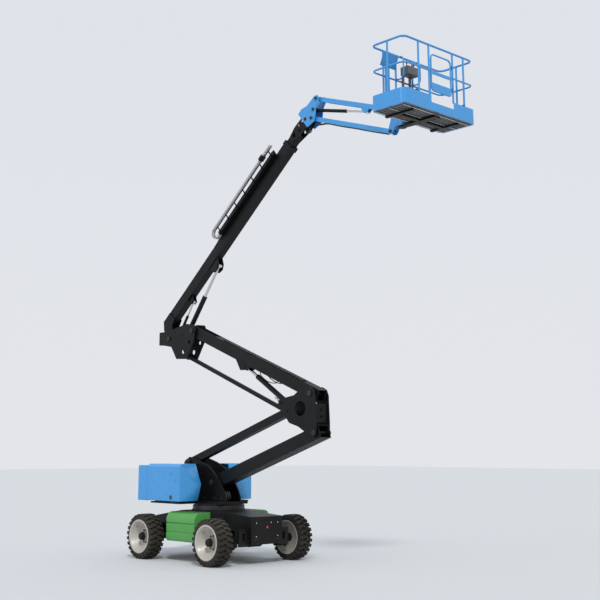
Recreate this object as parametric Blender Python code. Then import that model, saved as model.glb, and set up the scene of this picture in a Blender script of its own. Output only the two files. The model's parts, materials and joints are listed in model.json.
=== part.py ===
"""Articulating boom lift: four-wheel chassis, slewing turntable, folding riser, boom, jib and basket.

Units are metres, +X is forward, +Y is left and +Z is up. Positions are worked out from the slew axis on the
ground, and the last step moves the whole machine so that the origin is the bottom centre of its bounding box.
"""

import math

import bmesh
import bpy
from mathutils import Matrix, Vector

# ---------------------------------------------------------------- driving dimensions
GAP = 0.0003

WHEELBASE = 2.05
TRACK = 1.954
TYRE_R = 0.42
TYRE_W = 0.30
RIM_R = 0.295
KINGPIN_Y = 0.78

DECK_Z = 0.85
BODY_Z = 0.90
BELLY_Z = 0.36
NOSE_X = WHEELBASE / 2 + 0.375
TAIL_X = -WHEELBASE / 2 - 0.475
NOSE_HALF = 0.38
BODY_HALF = 0.55
BODY_X = 0.47
COVER_OUT = 0.93
COVER_X = 0.43
COVER_LOW = 0.37
COVER_TOP = 0.90

RING_R = 0.50
RING_Z = 0.935
TABLE_Z = 1.005
FLOOR_Z = 1.08

HOOD_IN = 0.41
HOOD_OUT = 0.90
HOOD_REAR = -1.11
HOOD_BOTTOM = 1.09
HOOD_TOP = 1.78
HOOD_CREASE = 1.40
WEIGHT_REAR = -1.48

PIN_R = 0.035
PIN_SIDES = 16
PLATE_OUT = 0.19
PLATE_T = 0.025

ARM_A = (0.01, 1.43)
ARM_B = (2.82, 2.34)
LINK_0 = (-0.70, 1.825)
LINK_W = 0.128
LINK_Y = -0.084
SLIM_W = 0.05
SLIM_Y = 0.10
ARM_C = (2.72, 3.03)
ARM_D = (-0.76, 4.42)
LINK_E = (2.26, 2.57)
RISER_J = (1.95, 2.89)
RISER_K = (0.82, 3.60)
LOWER_W = 0.26
LOWER_D = 0.235
UPPER_W = 0.20
UPPER_D = 0.22

BOOM_G = (-1.53, 4.32)
BOOM_ANGLE = 40.0
BOOM_W = 0.17
BOOM_D = 0.215
BOOM_T = 0.355
BOOM_END = 5.00
FLY_END = 5.28
LIFT_H = (-1.10, 4.36)
LIFT_P = (-0.08, 5.695)

JIB_P = (2.55, 8.18)
JIB_Q1 = (2.72, 8.165)
JIB_Q2 = (2.85, 8.52)
JIB_RUN = (1.936, -0.688)
JIB_W0 = (2.77, 8.325)
JIB_X0 = (4.04, 7.995)

SWIVEL_X = 4.87
BASKET_X = 5.364
BASKET_Z = 7.565
BASKET_L = 1.88
BASKET_W = 0.76
RAIL_TOP = 1.17
RAIL_MID = 0.70
TOE = 0.26
RAIL_R = 0.019

# ---------------------------------------------------------------- colours
COLOURS = {
    "black": (0.018, 0.019, 0.021, 0.0, 0.45),
    "blue": (0.066, 0.35, 0.74, 0.0, 0.35),
    "green": (0.07, 0.35, 0.06, 0.0, 0.4),
    "rubber": (0.055, 0.048, 0.042, 0.0, 0.9),
    "rim": (0.62, 0.6, 0.56, 0.2, 0.4),
    "steel": (0.7, 0.7, 0.7, 1.0, 0.2),
    "grey": (0.16, 0.16, 0.17, 0.0, 0.5),
    "silver": (0.45, 0.46, 0.47, 0.3, 0.5),
}
MATERIALS = {}


def material(key):
    if key not in MATERIALS:
        made = bpy.data.materials.new(key)
        made.use_nodes = True
        shader = made.node_tree.nodes["Principled BSDF"]
        red, green, blue, metal, rough = COLOURS[key]
        shader.inputs["Base Color"].default_value = (red, green, blue, 1.0)
        shader.inputs["Metallic"].default_value = metal
        shader.inputs["Roughness"].default_value = rough
        MATERIALS[key] = made
    return MATERIALS[key]


# ---------------------------------------------------------------- solids
def solid(points, faces):
    """A closed mesh from points and faces, its normals facing out."""
    mesh = bpy.data.meshes.new("solid")
    mesh.from_pydata([tuple(p) for p in points], [], faces)
    work = bmesh.new()
    work.from_mesh(mesh)
    bmesh.ops.recalc_face_normals(work, faces=work.faces)
    if work.calc_volume(signed=True) < 0:
        bmesh.ops.reverse_faces(work, faces=work.faces)
    work.to_mesh(mesh)
    work.free()
    return mesh


def loft(first, second):
    """Two matching outlines joined by side faces and closed by an end face each."""
    n = len(first)
    faces = [list(range(n - 1, -1, -1)), list(range(n, 2 * n))]
    faces += [[i, (i + 1) % n, n + (i + 1) % n, n + i] for i in range(n)]
    return solid(list(first) + list(second), faces)


def prism_y(outline, y0, y1):
    return loft([(x, y0, z) for x, z in outline], [(x, y1, z) for x, z in outline])


def prism_z(outline, z0, z1):
    return loft([(x, y, z0) for x, y in outline], [(x, y, z1) for x, y in outline])


def prism_x(outline, x0, x1):
    return loft([(x0, y, z) for y, z in outline], [(x1, y, z) for y, z in outline])


def box(x0, x1, y0, y1, z0, z1):
    return prism_z([(x0, y0), (x1, y0), (x1, y1), (x0, y1)], z0, z1)


def hull(points):
    work = bmesh.new()
    for point in points:
        work.verts.new(point)
    bmesh.ops.convex_hull(work, input=work.verts)
    loose = [v for v in work.verts if not v.link_faces]
    bmesh.ops.delete(work, geom=loose, context="VERTS")
    mesh = bpy.data.meshes.new("solid")
    bmesh.ops.recalc_face_normals(work, faces=work.faces)
    work.to_mesh(mesh)
    work.free()
    return mesh


def across(direction):
    """Two unit vectors square to a direction."""
    direction = Vector(direction).normalized()
    up = Vector((0, 0, 1)) if abs(direction.z) < 0.9 else Vector((0, 1, 0))
    side = direction.cross(up).normalized()
    return side, side.cross(direction).normalized()


def circle(centre, side, up, radius, count):
    angles = [2 * math.pi * (i + 0.5) / count for i in range(count)]
    return [Vector(centre) + side * (radius * math.cos(a)) + up * (radius * math.sin(a)) for a in angles]


def rod(start, end, radius, count=12, radius_end=None):
    start = Vector(start)
    end = Vector(end)
    side, up = across(end - start)
    last = radius if radius_end is None else radius_end
    return loft(circle(start, side, up, radius, count), circle(end, side, up, last, count))


def pin(spot, half, radius=PIN_R, count=PIN_SIDES):
    return rod((spot[0], -half, spot[1]), (spot[0], half, spot[1]), radius, count)


def bore_radius(radius):
    """A pin of this radius turns in a bore of the same number of sides without its corners touching."""
    return (radius + GAP) / math.cos(math.pi / PIN_SIDES)


def bore(spot, half, radius=PIN_R):
    return pin(spot, half, bore_radius(radius))


def stub(spot, y0, y1, radius, count=PIN_SIDES):
    return rod((spot[0], y0, spot[1]), (spot[0], y1, spot[1]), radius, count)


def cylinder_z(x, y, z0, z1, radius, count=24):
    return rod((x, y, z0), (x, y, z1), radius, count)


def turned(profile, centre, axis, count=24):
    """A profile of (along, radius) points turned about an axis. A radius of 0 closes on the axis."""
    axis = Vector(axis).normalized()
    side, up = across(axis)
    centre = Vector(centre)
    points = []
    rings = []
    for along, radius in profile:
        middle = centre + axis * along
        if radius == 0:
            rings.append([len(points)])
            points.append(middle)
        else:
            rings.append(list(range(len(points), len(points) + count)))
            points += circle(middle, side, up, radius, count)
    faces = []
    closed = profile[0][1] != 0
    for i in range(len(rings) if closed else len(rings) - 1):
        a = rings[i]
        b = rings[(i + 1) % len(rings)]
        for j in range(count):
            k = (j + 1) % count
            if len(a) == 1:
                faces.append([a[0], b[j], b[k]])
            elif len(b) == 1:
                faces.append([a[j], a[k], b[0]])
            else:
                faces.append([a[j], a[k], b[k], b[j]])
    return solid(points, faces)


def swept(path, radius, count=8, closed=False):
    """A round bar along a path of points, mitred at each point."""
    path = [Vector(p) for p in path]
    n = len(path)
    rings = []
    side = None
    for i, point in enumerate(path):
        before = path[i - 1] if i or closed else None
        after = path[(i + 1) % n] if i < n - 1 or closed else None
        into = (point - before).normalized() if before is not None else (after - point).normalized()
        out = (after - point).normalized() if after is not None else into
        tangent = (into + out).normalized()
        if side is None:
            side = across(into)[0]
        side = (side - into * side.dot(into)).normalized()
        up = into.cross(side).normalized()
        ring = []
        for spot in circle(point, side, up, radius, count):
            shift = (point - spot).dot(tangent) / into.dot(tangent)
            ring.append(spot + into * shift)
        rings.append(ring)
        side = (side - out * side.dot(out)).normalized()
    points = [p for ring in rings for p in ring]
    faces = []
    for i in range(n if closed else n - 1):
        j = (i + 1) % n
        for k in range(count):
            m = (k + 1) % count
            faces.append([i * count + k, i * count + m, j * count + m, j * count + k])
    if not closed:
        faces.append(list(range(count)))
        faces.append(list(range((n - 1) * count, n * count)))
    return solid(points, faces)


def rounded(corners, radius, steps=3):
    """A closed run of points with each corner rounded."""
    out = []
    n = len(corners)
    for i in range(n):
        here = Vector(corners[i])
        back = (Vector(corners[i - 1]) - here).normalized()
        ahead = (Vector(corners[(i + 1) % n]) - here).normalized()
        half = math.acos(max(-1.0, min(1.0, back.dot(ahead)))) / 2
        reach = radius / math.tan(half)
        start = here + back * reach
        end = here + ahead * reach
        middle = here + (back + ahead).normalized() * (radius / math.sin(half))
        for k in range(steps + 1):
            t = k / steps
            spot = start.lerp(end, t) - middle
            out.append(middle + spot.normalized() * radius)
    return out


def beam(start, end, width, depth, before=0.0, after=0.0, offset=0.0):
    """A rectangular bar in the boom plane, from start to end and on past both of them."""
    a = Vector((start[0], 0, start[1]))
    b = Vector((end[0], 0, end[1]))
    along = (b - a).normalized()
    normal = Vector((-along.z, 0, along.x))
    a = a - along * before + normal * offset
    b = b + along * after + normal * offset
    y = Vector((0, width / 2, 0))
    n = normal * (depth / 2)
    first = [a - y - n, a + y - n, a + y + n, a - y + n]
    second = [b - y - n, b + y - n, b + y + n, b - y + n]
    return loft(first, second)


def moved(mesh, x=0.0, y=0.0, z=0.0):
    mesh.transform(Matrix.Translation((x, y, z)))
    return mesh


def flipped(mesh):
    """The mirror image across the centre plane."""
    mesh.transform(Matrix.Scale(-1, 4, (0, 1, 0)))
    mesh.flip_normals()
    return mesh


def combine(adds, cuts=()):
    """One mesh: the union of the first list, less everything in the second."""
    base = bpy.data.objects.new("work", adds[0])
    bpy.context.scene.collection.objects.link(base)
    for kind, meshes in (("UNION", adds[1:]), ("DIFFERENCE", cuts)):
        for mesh in meshes:
            tool = bpy.data.objects.new("tool", mesh)
            tool.hide_render = True
            tool.display_type = "WIRE"
            bpy.context.scene.collection.objects.link(tool)
            step = base.modifiers.new("step", "BOOLEAN")
            step.operation = kind
            step.solver = "EXACT"
            step.object = tool
            graph = bpy.context.evaluated_depsgraph_get()
            graph.update()
            result = bpy.data.meshes.new_from_object(base.evaluated_get(graph))
            base.modifiers.clear()
            base.data = result
            bpy.data.objects.remove(tool)
    result = base.data
    bpy.data.objects.remove(base)
    return result


NODES = []


def node(name, colour, adds, cuts=(), origin=(0.0, 0.0, 0.0)):
    """One named piece. Its origin sits on its own joint axis."""
    mesh = combine(list(adds), list(cuts))
    mesh.name = name
    mesh.transform(Matrix.Translation(-Vector(origin)))
    mesh.materials.clear()
    mesh.materials.append(material(colour))
    made = bpy.data.objects.new(name, mesh)
    made.location = origin
    bpy.context.scene.collection.objects.link(made)
    NODES.append(made)
    return made


def at(spot, y=0.0):
    return (spot[0], y, spot[1])


def add(a, b):
    return (a[0] + b[0], a[1] + b[1])


def less(a, b):
    return (a[0] - b[0], a[1] - b[1])


def unit(vector):
    size = math.hypot(vector[0], vector[1])
    return (vector[0] / size, vector[1] / size)


def along(start, end, distance):
    way = unit(less(end, start))
    return (start[0] + way[0] * distance, start[1] + way[1] * distance)


LINK_1 = add(LINK_0, less(ARM_B, ARM_A))
LINK_F = add(LINK_E, less(ARM_D, ARM_C))
JIB_R1 = add(JIB_Q1, JIB_RUN)
JIB_R2 = add(JIB_Q2, JIB_RUN)
BOOM_DIR = (math.cos(math.radians(BOOM_ANGLE)), math.sin(math.radians(BOOM_ANGLE)))
BOOM_UP = (-BOOM_DIR[1], BOOM_DIR[0])


def boom(s, t):
    """A point of the boom plane, s along the boom from its pivot and t above the pivot line."""
    return (BOOM_G[0] + BOOM_DIR[0] * s + BOOM_UP[0] * t, BOOM_G[1] + BOOM_DIR[1] * s + BOOM_UP[1] * t)


def boom_box(s0, s1, y0, y1, t0, t1):
    corners = [boom(s0, t0), boom(s1, t0), boom(s1, t1), boom(s0, t1)]
    return prism_y(corners, y0, y1)


def clear():
    for thing in list(bpy.data.objects):
        bpy.data.objects.remove(thing)


# ---------------------------------------------------------------- chassis
def prism_z_frame(plan):
    """Everything outside a plan outline, for trimming a solid drawn from the side."""
    block = box(TAIL_X - 0.3, NOSE_X + 0.3, -0.9, 0.9, BELLY_Z - 0.2, BODY_Z + 0.2)
    return combine([block], [prism_z(plan, BELLY_Z - 0.4, BODY_Z + 0.4)])


def chassis():
    side = [(TAIL_X, BELLY_Z), (TAIL_X, 0.77), (-0.66, BODY_Z), (0.66, BODY_Z), (NOSE_X, DECK_Z)]
    side += [(NOSE_X, BELLY_Z)]
    plan = [(TAIL_X - 0.1, -NOSE_HALF), (TAIL_X - 0.1, NOSE_HALF), (-0.62, NOSE_HALF), (-BODY_X, BODY_HALF)]
    plan += [(BODY_X, BODY_HALF), (0.62, NOSE_HALF), (NOSE_X + 0.1, NOSE_HALF), (NOSE_X + 0.1, -NOSE_HALF)]
    plan += [(0.62, -NOSE_HALF), (BODY_X, -BODY_HALF), (-BODY_X, -BODY_HALF), (-0.62, -NOSE_HALF)]
    body = combine([prism_y(side, -0.7, 0.7)], [prism_z_frame(plan)])
    adds = [body, cylinder_z(0, 0, BODY_Z - 0.02, RING_Z, 0.52, 36)]
    cuts = []
    for end in (-1, 1):
        for hand in (-1, 1):
            low, high = sorted((hand * (NOSE_HALF - 0.02), hand * 0.605))
            near, far = sorted((end * (WHEELBASE / 2 + 0.265), end * (WHEELBASE / 2 + 0.29)))
            adds.append(box(near, far, low, high, BELLY_Z - 0.03, 0.64))
            low, high = sorted((hand * 0.46, hand * 0.52))
            cuts.append(box(near - 0.05, far + 0.05, low, high, 0.42, 0.56))
        axle_x = end * WHEELBASE / 2
        cuts.append(box(axle_x - 0.19, axle_x + 0.19, -0.6, 0.6, BELLY_Z - 0.1, 0.58))
    cuts.append(box(0.20, NOSE_X - 0.02, -NOSE_HALF + 0.02, NOSE_HALF - 0.02, BELLY_Z - 0.1, BELLY_Z + 0.05))
    node("chassis_frame", "black", adds, cuts)
    for side, name in ((-1, "side_cover_right"), (1, "side_cover_left")):
        inner = BODY_HALF + GAP
        profile = [(inner, COVER_LOW), (COVER_OUT - 0.03, COVER_LOW), (COVER_OUT, 0.41), (COVER_OUT, 0.52)]
        profile += [(COVER_OUT - 0.015, 0.53), (COVER_OUT, 0.55), (COVER_OUT, 0.68)]
        profile += [(COVER_OUT - 0.02, 0.695)]
        profile += [(COVER_OUT, 0.71), (COVER_OUT, 0.79), (COVER_OUT - 0.05, 0.875)]
        profile += [(COVER_OUT - 0.11, COVER_TOP)]
        profile += [(inner, COVER_TOP)]
        profile = [(side * y, z) for y, z in profile]
        body = prism_x(profile, -COVER_X, COVER_X)
        low, high = sorted((side * (inner - 0.02), side * (COVER_OUT - 0.06)))
        hollow = box(-COVER_X + 0.03, COVER_X - 0.03, low, high, COVER_LOW + 0.03, COVER_TOP - 0.06)
        node(name, "green", [body], [hollow])


def axle(name, x, steered):
    z = TYRE_R
    cuts = []
    adds = [box(x - 0.07, x + 0.07, -0.66, 0.66, z - 0.06, z + 0.06)]
    adds.append(rod((x, -0.14, z), (x, 0.14, z), 0.13, 24))
    adds.append(box(x - 0.10, x + 0.10, -0.38, 0.38, z + 0.04, 0.58 - GAP))
    for side in (-1, 1):
        y = side * KINGPIN_Y
        if steered:
            for low, high in ((z + 0.10, z + 0.14), (z - 0.14, z - 0.10)):
                adds.append(box(x - 0.05, x + 0.05, side * 0.62, y, low, high))
                adds.append(cylinder_z(x, y, low, high, 0.05, 16))
                cuts.append(cylinder_z(x, y, low - 0.01, high + 0.01, bore_radius(0.022), PIN_SIDES))
            adds.append(box(x - 0.06, x + 0.06, side * 0.62, side * 0.68, z - 0.14, z + 0.14))
        else:
            adds.append(rod((x, side * 0.60, z), (x, side * 0.82, z), 0.09, 20))
            adds.append(rod((x, side * 0.80, z), (x, side * (TRACK / 2 - 0.06) - side * GAP, z), 0.11, 20))
    if steered:
        adds.append(rod((x - 0.13, -0.34, z), (x - 0.13, 0.34, z), 0.035, 14))
        adds.append(box(x - 0.15, x, -0.06, 0.06, z - 0.03, z + 0.03))
    node(name, "black", adds, cuts)


def wheel(tag, x, side):
    y = side * TRACK / 2
    z = TYRE_R
    half = TYRE_W / 2
    tyre = [(-half, 0.31), (-half, 0.385), (-half + 0.035, TYRE_R), (half - 0.035, TYRE_R), (half, 0.385)]
    tyre += [(half, 0.31), (half - 0.012, RIM_R + GAP), (-half + 0.012, RIM_R + GAP)]
    centre = (x, y, z)
    axis = (0, side, 0)
    node("tyre_" + tag, "rubber", [turned(tyre, centre, axis)], (), centre)
    lip = half + GAP
    rim = [(0.07, 0.0), (0.07, 0.05), (0.0, 0.07), (-0.02, 0.12), (half + 0.006, 0.283)]
    rim += [(half + 0.010, 0.312), (lip, 0.312), (lip, 0.302), (half - 0.012, RIM_R), (-half + 0.012, RIM_R)]
    rim += [(-lip, 0.302), (-lip, 0.312), (-half - 0.006, 0.283), (-0.07, 0.27), (-0.06, 0.11), (-0.06, 0.0)]
    node("rim_" + tag, "rim", [turned(rim, centre, axis)], (), centre)


def steering_knuckle(tag, side):
    x = WHEELBASE / 2
    y = side * KINGPIN_Y
    z = TYRE_R
    adds = [cylinder_z(x, y, z - 0.10 + 0.004, z + 0.10 - 0.004, 0.055, 16)]
    adds.append(cylinder_z(x, y, z - 0.17, z + 0.17, 0.022, PIN_SIDES))
    adds.append(rod((x, y, z), (x, side * (TRACK / 2 - 0.06 - GAP), z), 0.075, 20))
    node("steering_knuckle_" + tag, "grey", adds, (), (x, y, z))


# ---------------------------------------------------------------- turntable
def hood_shape(grow):
    """Corner points of the right-hand hood, drawn in by grow on every side but the bottom."""
    g = grow
    points = []
    top = HOOD_TOP - g
    bottom = HOOD_BOTTOM if g == 0 else HOOD_BOTTOM - 0.03
    front = [(-0.09, -HOOD_OUT + 0.05, top), (-0.16, -0.60, top), (-0.22, -HOOD_IN, top)]
    front += [(-0.08, -HOOD_OUT, HOOD_TOP - 0.05 - g), (-0.08, -HOOD_OUT, HOOD_CREASE)]
    front += [(-0.08, -HOOD_OUT, bottom)]
    front += [(0.02, -0.60, HOOD_CREASE), (-0.02, -HOOD_IN - 0.02, HOOD_CREASE)]
    front += [(-0.04, -0.62, bottom), (-0.14, -HOOD_IN, bottom)]
    for x, y, z in front:
        points.append((x - g, max(y, -HOOD_OUT + g), z))
    back = [(-HOOD_OUT + 0.05 + g, top), (-HOOD_IN, top), (-HOOD_OUT + g, HOOD_TOP - 0.05 - g)]
    back += [(-HOOD_OUT + g, bottom), (-HOOD_IN, bottom)]
    for y, z in back:
        points.append((HOOD_REAR + g, y, z))
    return points


def turntable():
    adds = [cylinder_z(0, 0, TABLE_Z + GAP, 1.045, 0.47, 32)]
    adds.append(box(-1.40, 0.46, -0.34, 0.34, 1.035, FLOOR_Z))
    adds.append(box(-1.04, -0.12, -0.86, 0.86, 1.04, 1.07))
    outline = [(-0.98, 1.06), (-0.98, 1.62), (-0.84, 1.84), (-0.70, 1.91), (-0.54, 1.88)]
    outline += [(-0.28, 1.81), (-0.07, 1.72), (0.12, 1.57), (0.27, 1.43), (0.37, 1.29), (0.44, 1.14)]
    outline += [(0.44, 1.06)]
    cuts = []
    for side in (-1, 1):
        outer = side * PLATE_OUT
        inner = side * (PLATE_OUT - PLATE_T)
        adds.append(prism_y(outline, min(outer, inner), max(outer, inner)))
    adds.append(box(-0.95, -0.92, -0.18, 0.18, 1.07, 1.45))
    for side in (-1, 1):
        hinge_y = side * (HOOD_IN - 0.0127)
        adds.append(rod((-0.96, hinge_y, 1.766), (-0.34, hinge_y, 1.766), 0.0122, 16))
        for x in (-0.90, -0.42):
            low, high = sorted((side * (PLATE_OUT - 0.01), hinge_y))
            adds.append(box(x - 0.015, x + 0.015, low, high, 1.757, 1.774))
    adds.append(pin(ARM_A, PLATE_OUT + 0.02))
    adds.append(pin(LINK_0, PLATE_OUT + 0.02, 0.03))
    node("turntable_frame", "black", adds, cuts)

    ring = [(RING_Z + GAP, 0.38), (RING_Z + GAP, RING_R), (TABLE_Z, RING_R), (TABLE_Z, 0.38)]
    node("slew_ring", "grey", [turned(ring, (0, 0, 0), (0, 0, 1), 36)])

    body = [(WEIGHT_REAR, -0.84), (WEIGHT_REAR, 0.84), (WEIGHT_REAR + 0.06, HOOD_OUT)]
    body += [(HOOD_REAR - 0.01, HOOD_OUT)]
    body += [(HOOD_REAR - 0.01, -HOOD_OUT), (WEIGHT_REAR + 0.06, -HOOD_OUT)]
    adds = [prism_z(body, FLOOR_Z + GAP, 1.75)]
    cuts = [box(-1.6, -1.0, -0.32, 0.32, 1.45, 1.9)]
    node("counterweight", "blue", adds, cuts)

    for side, tag in ((-1, "right"), (1, "left")):
        shell = hull(hood_shape(0.0))
        inside = hull(hood_shape(0.014))
        inside_more = box(HOOD_REAR + 0.014, -0.30, -HOOD_IN - 0.05, -HOOD_IN + 0.05, 1.0, HOOD_TOP - 0.03)
        meshes = [shell, inside, inside_more]
        if side > 0:
            meshes = [flipped(m) for m in meshes]
        hinge = (-0.6, side * HOOD_IN, HOOD_TOP - 0.01)
        node("hood_" + tag, "blue", meshes[:1], meshes[1:], hinge)
    node("battery_pack", "grey", [box(-0.96, -0.28, -0.82, -0.46, 1.07 + GAP, 1.60)])
    tank = box(-0.96, -0.62, 0.46, 0.82, 1.07 + GAP, 1.55)
    node("hydraulic_tank", "silver", [tank, rod((-0.79, 0.64, 1.5), (-0.79, 0.64, 1.60), 0.05, 12)])
    motor = rod((-0.52, 0.64, 1.26), (-0.24, 0.64, 1.26), 0.12, 20)
    foot = box(-0.50, -0.26, 0.54, 0.74, 1.07 + GAP, 1.20)
    node("pump_motor", "grey", [motor, foot])


# ---------------------------------------------------------------- riser
def tube_beam(start, end, width, depth, before, after, wall):
    outer = beam(start, end, width, depth, before, after)
    inner = beam(start, end, width - 2 * wall, depth - 2 * wall, before + 0.1, after + 0.1)
    return outer, inner


def riser():
    outer, inner = tube_beam(ARM_A, ARM_B, LOWER_W, LOWER_D, 0.10, 0.09, 0.012)
    holes = [bore(ARM_A, 0.2), bore(ARM_B, 0.2)]
    node("lower_arm", "black", [outer], [inner] + holes, at(ARM_A))

    outer, inner = tube_beam(LINK_0, LINK_1, LINK_W, 0.14, 0.07, 0.07, 0.010)
    holes = [bore(LINK_0, 0.2, 0.03), bore(LINK_1, 0.2, 0.03)]
    adds = [moved(outer, y=LINK_Y)]
    node("lower_link", "black", adds, [moved(inner, y=LINK_Y)] + holes, at(LINK_0))

    plates = [(2.45, 3.10), (2.30, 3.01), (1.98, 2.965), (1.895, 2.93), (1.88, 2.85), (2.02, 2.70)]
    plates += [(2.18, 2.52)]
    plates += [(2.42, 2.45), (2.70, 2.29), (2.80, 2.26), (2.87, 2.30), (2.87, 2.52), (2.845, 3.00)]
    plates += [(2.80, 3.10)]
    plates += [(2.70, 3.15), (2.55, 3.15)]
    half = 0.178
    adds = []
    cuts = []
    for side in (-1, 1):
        y0, y1 = sorted((side * half, side * (half - PLATE_T)))
        adds.append(prism_y(plates, y0, y1))
    adds.append(box(2.80, 2.825, -half + 0.01, half - 0.01, 2.52, 2.85))
    adds.append(pin(ARM_B, half + 0.015))
    adds.append(pin(ARM_C, half + 0.015))
    adds.append(stub(LINK_1, -half - 0.015, -0.012, 0.03))
    adds.append(stub(LINK_E, half + 0.015, 0.066, 0.025))
    adds.append(stub(RISER_J, -half - 0.015, 0.068, 0.03))
    cuts.append(pin((2.47, 2.77), 0.3, 0.135, 24))
    for z in (2.62, 2.74):
        cuts.append(rod((2.7, 0.0, z), (2.9, 0.0, z), 0.03, 12))
    node("mid_knuckle", "black", adds, cuts, at(ARM_B))

    outer, inner = tube_beam(ARM_C, ARM_D, UPPER_W, UPPER_D, 0.13, 0.08, 0.010)
    holes = [bore(ARM_C, 0.2), bore(ARM_D, 0.2)]
    adds = [outer]
    for side in (-1, 1):
        outline = [(0.70, 3.55), (0.92, 3.545), (1.04, 3.62), (1.06, 3.74), (0.52, 3.90), (0.56, 3.78)]
        cheek = prism_y(outline, -0.01, 0.01)
        adds.append(moved(cheek, y=side * 0.075))
    for side in (-1, 1):
        adds.append(stub(RISER_K, side * 0.067, side * 0.095, 0.032))
    # The boom's lift cylinder lies between the side walls here when the boom is down.
    slot = beam(along(ARM_D, ARM_C, 0.70), ARM_D, UPPER_W - 0.022, UPPER_D + 0.1, 0.0, 0.2)
    # The riser cylinder and its eye pass through the underside as the arm swings.
    mouth = beam(along(RISER_K, ARM_C, 1.0), along(RISER_K, ARM_D, 0.10), 0.124, 0.30)
    node("upper_arm", "black", adds, [inner, slot, mouth] + holes, at(ARM_C))

    bar = moved(beam(LINK_E, LINK_F, SLIM_W, 0.075, 0.045, 0.045), y=SLIM_Y)
    holes = [bore(LINK_E, 0.2, 0.025), bore(LINK_F, 0.2, 0.025)]
    node("upper_link", "black", [bar], holes, at(LINK_E))

    half = 0.15
    outline = [(-1.86, 4.20), (-1.86, 4.47), (-1.66, 4.47), (-1.60, 4.52), (-1.40, 4.50), (-0.95, 4.58)]
    outline += [(-0.70, 4.55), (-0.64, 4.43), (-0.70, 4.20), (-0.92, 3.86), (-1.26, 3.88), (-1.34, 4.00)]
    outline += [(-1.44, 4.14), (-1.66, 4.18)]
    adds = []
    for side in (-1, 1):
        y0, y1 = sorted((side * half, side * (half - 0.022)))
        adds.append(prism_y(outline, y0, y1))
    adds.append(box(-1.857, -1.84, -half + 0.005, half - 0.005, 4.22, 4.33))
    pins = ((LEVEL_0, 0.02, 0.008), (LIFT_H, 0.03, 0.010), (LINK_F, 0.025, 0.009), (BOOM_G, PIN_R, 0.014))
    for spot, radius, proud in pins:
        adds.append(pin(spot, half + proud, radius))
    for side in (-1, 1):
        adds.append(stub(ARM_D, side * (half + 0.012), side * 0.075, PIN_R))
    cuts = [pin((-0.84, 4.20), 0.3, 0.04), pin((-1.04, 4.02), 0.3, 0.05)]
    node("upper_knuckle", "black", adds, cuts, at(ARM_D))


def cylinder(tag, base, head, radius, rod_radius, barrel, base_pin, head_pin, inset):
    """A hydraulic cylinder in the boom plane: the barrel turns on its base pin and the rod slides out of it.

    The rod's eye is solid with its pin and drifts a little between the cheeks that carry it.
    """
    barrel_end = along(base, head, barrel)
    adds = [rod(at(along(base, head, 0.03)), at(barrel_end), radius, 16)]
    adds.append(pin(base, radius * 1.1, base_pin + 0.022))
    cuts = [bore(base, radius * 2, base_pin)]
    mouth = at(along(base, head, barrel + 0.1))
    cuts.append(rod(at(along(base, head, 0.07)), mouth, rod_radius + 2 * GAP, PIN_SIDES))
    node(tag + "_barrel", "black", adds, cuts, at(base))
    adds = [rod(at(along(base, head, inset)), at(along(head, base, 0.01)), rod_radius, PIN_SIDES)]
    adds.append(pin(head, radius * 0.9, head_pin + 0.013))
    node(tag + "_rod", "steel", adds, (), at(base))


LEVEL_0 = (-1.33, 4.43)
LEVEL_1 = boom(0.95, 0.145)


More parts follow.
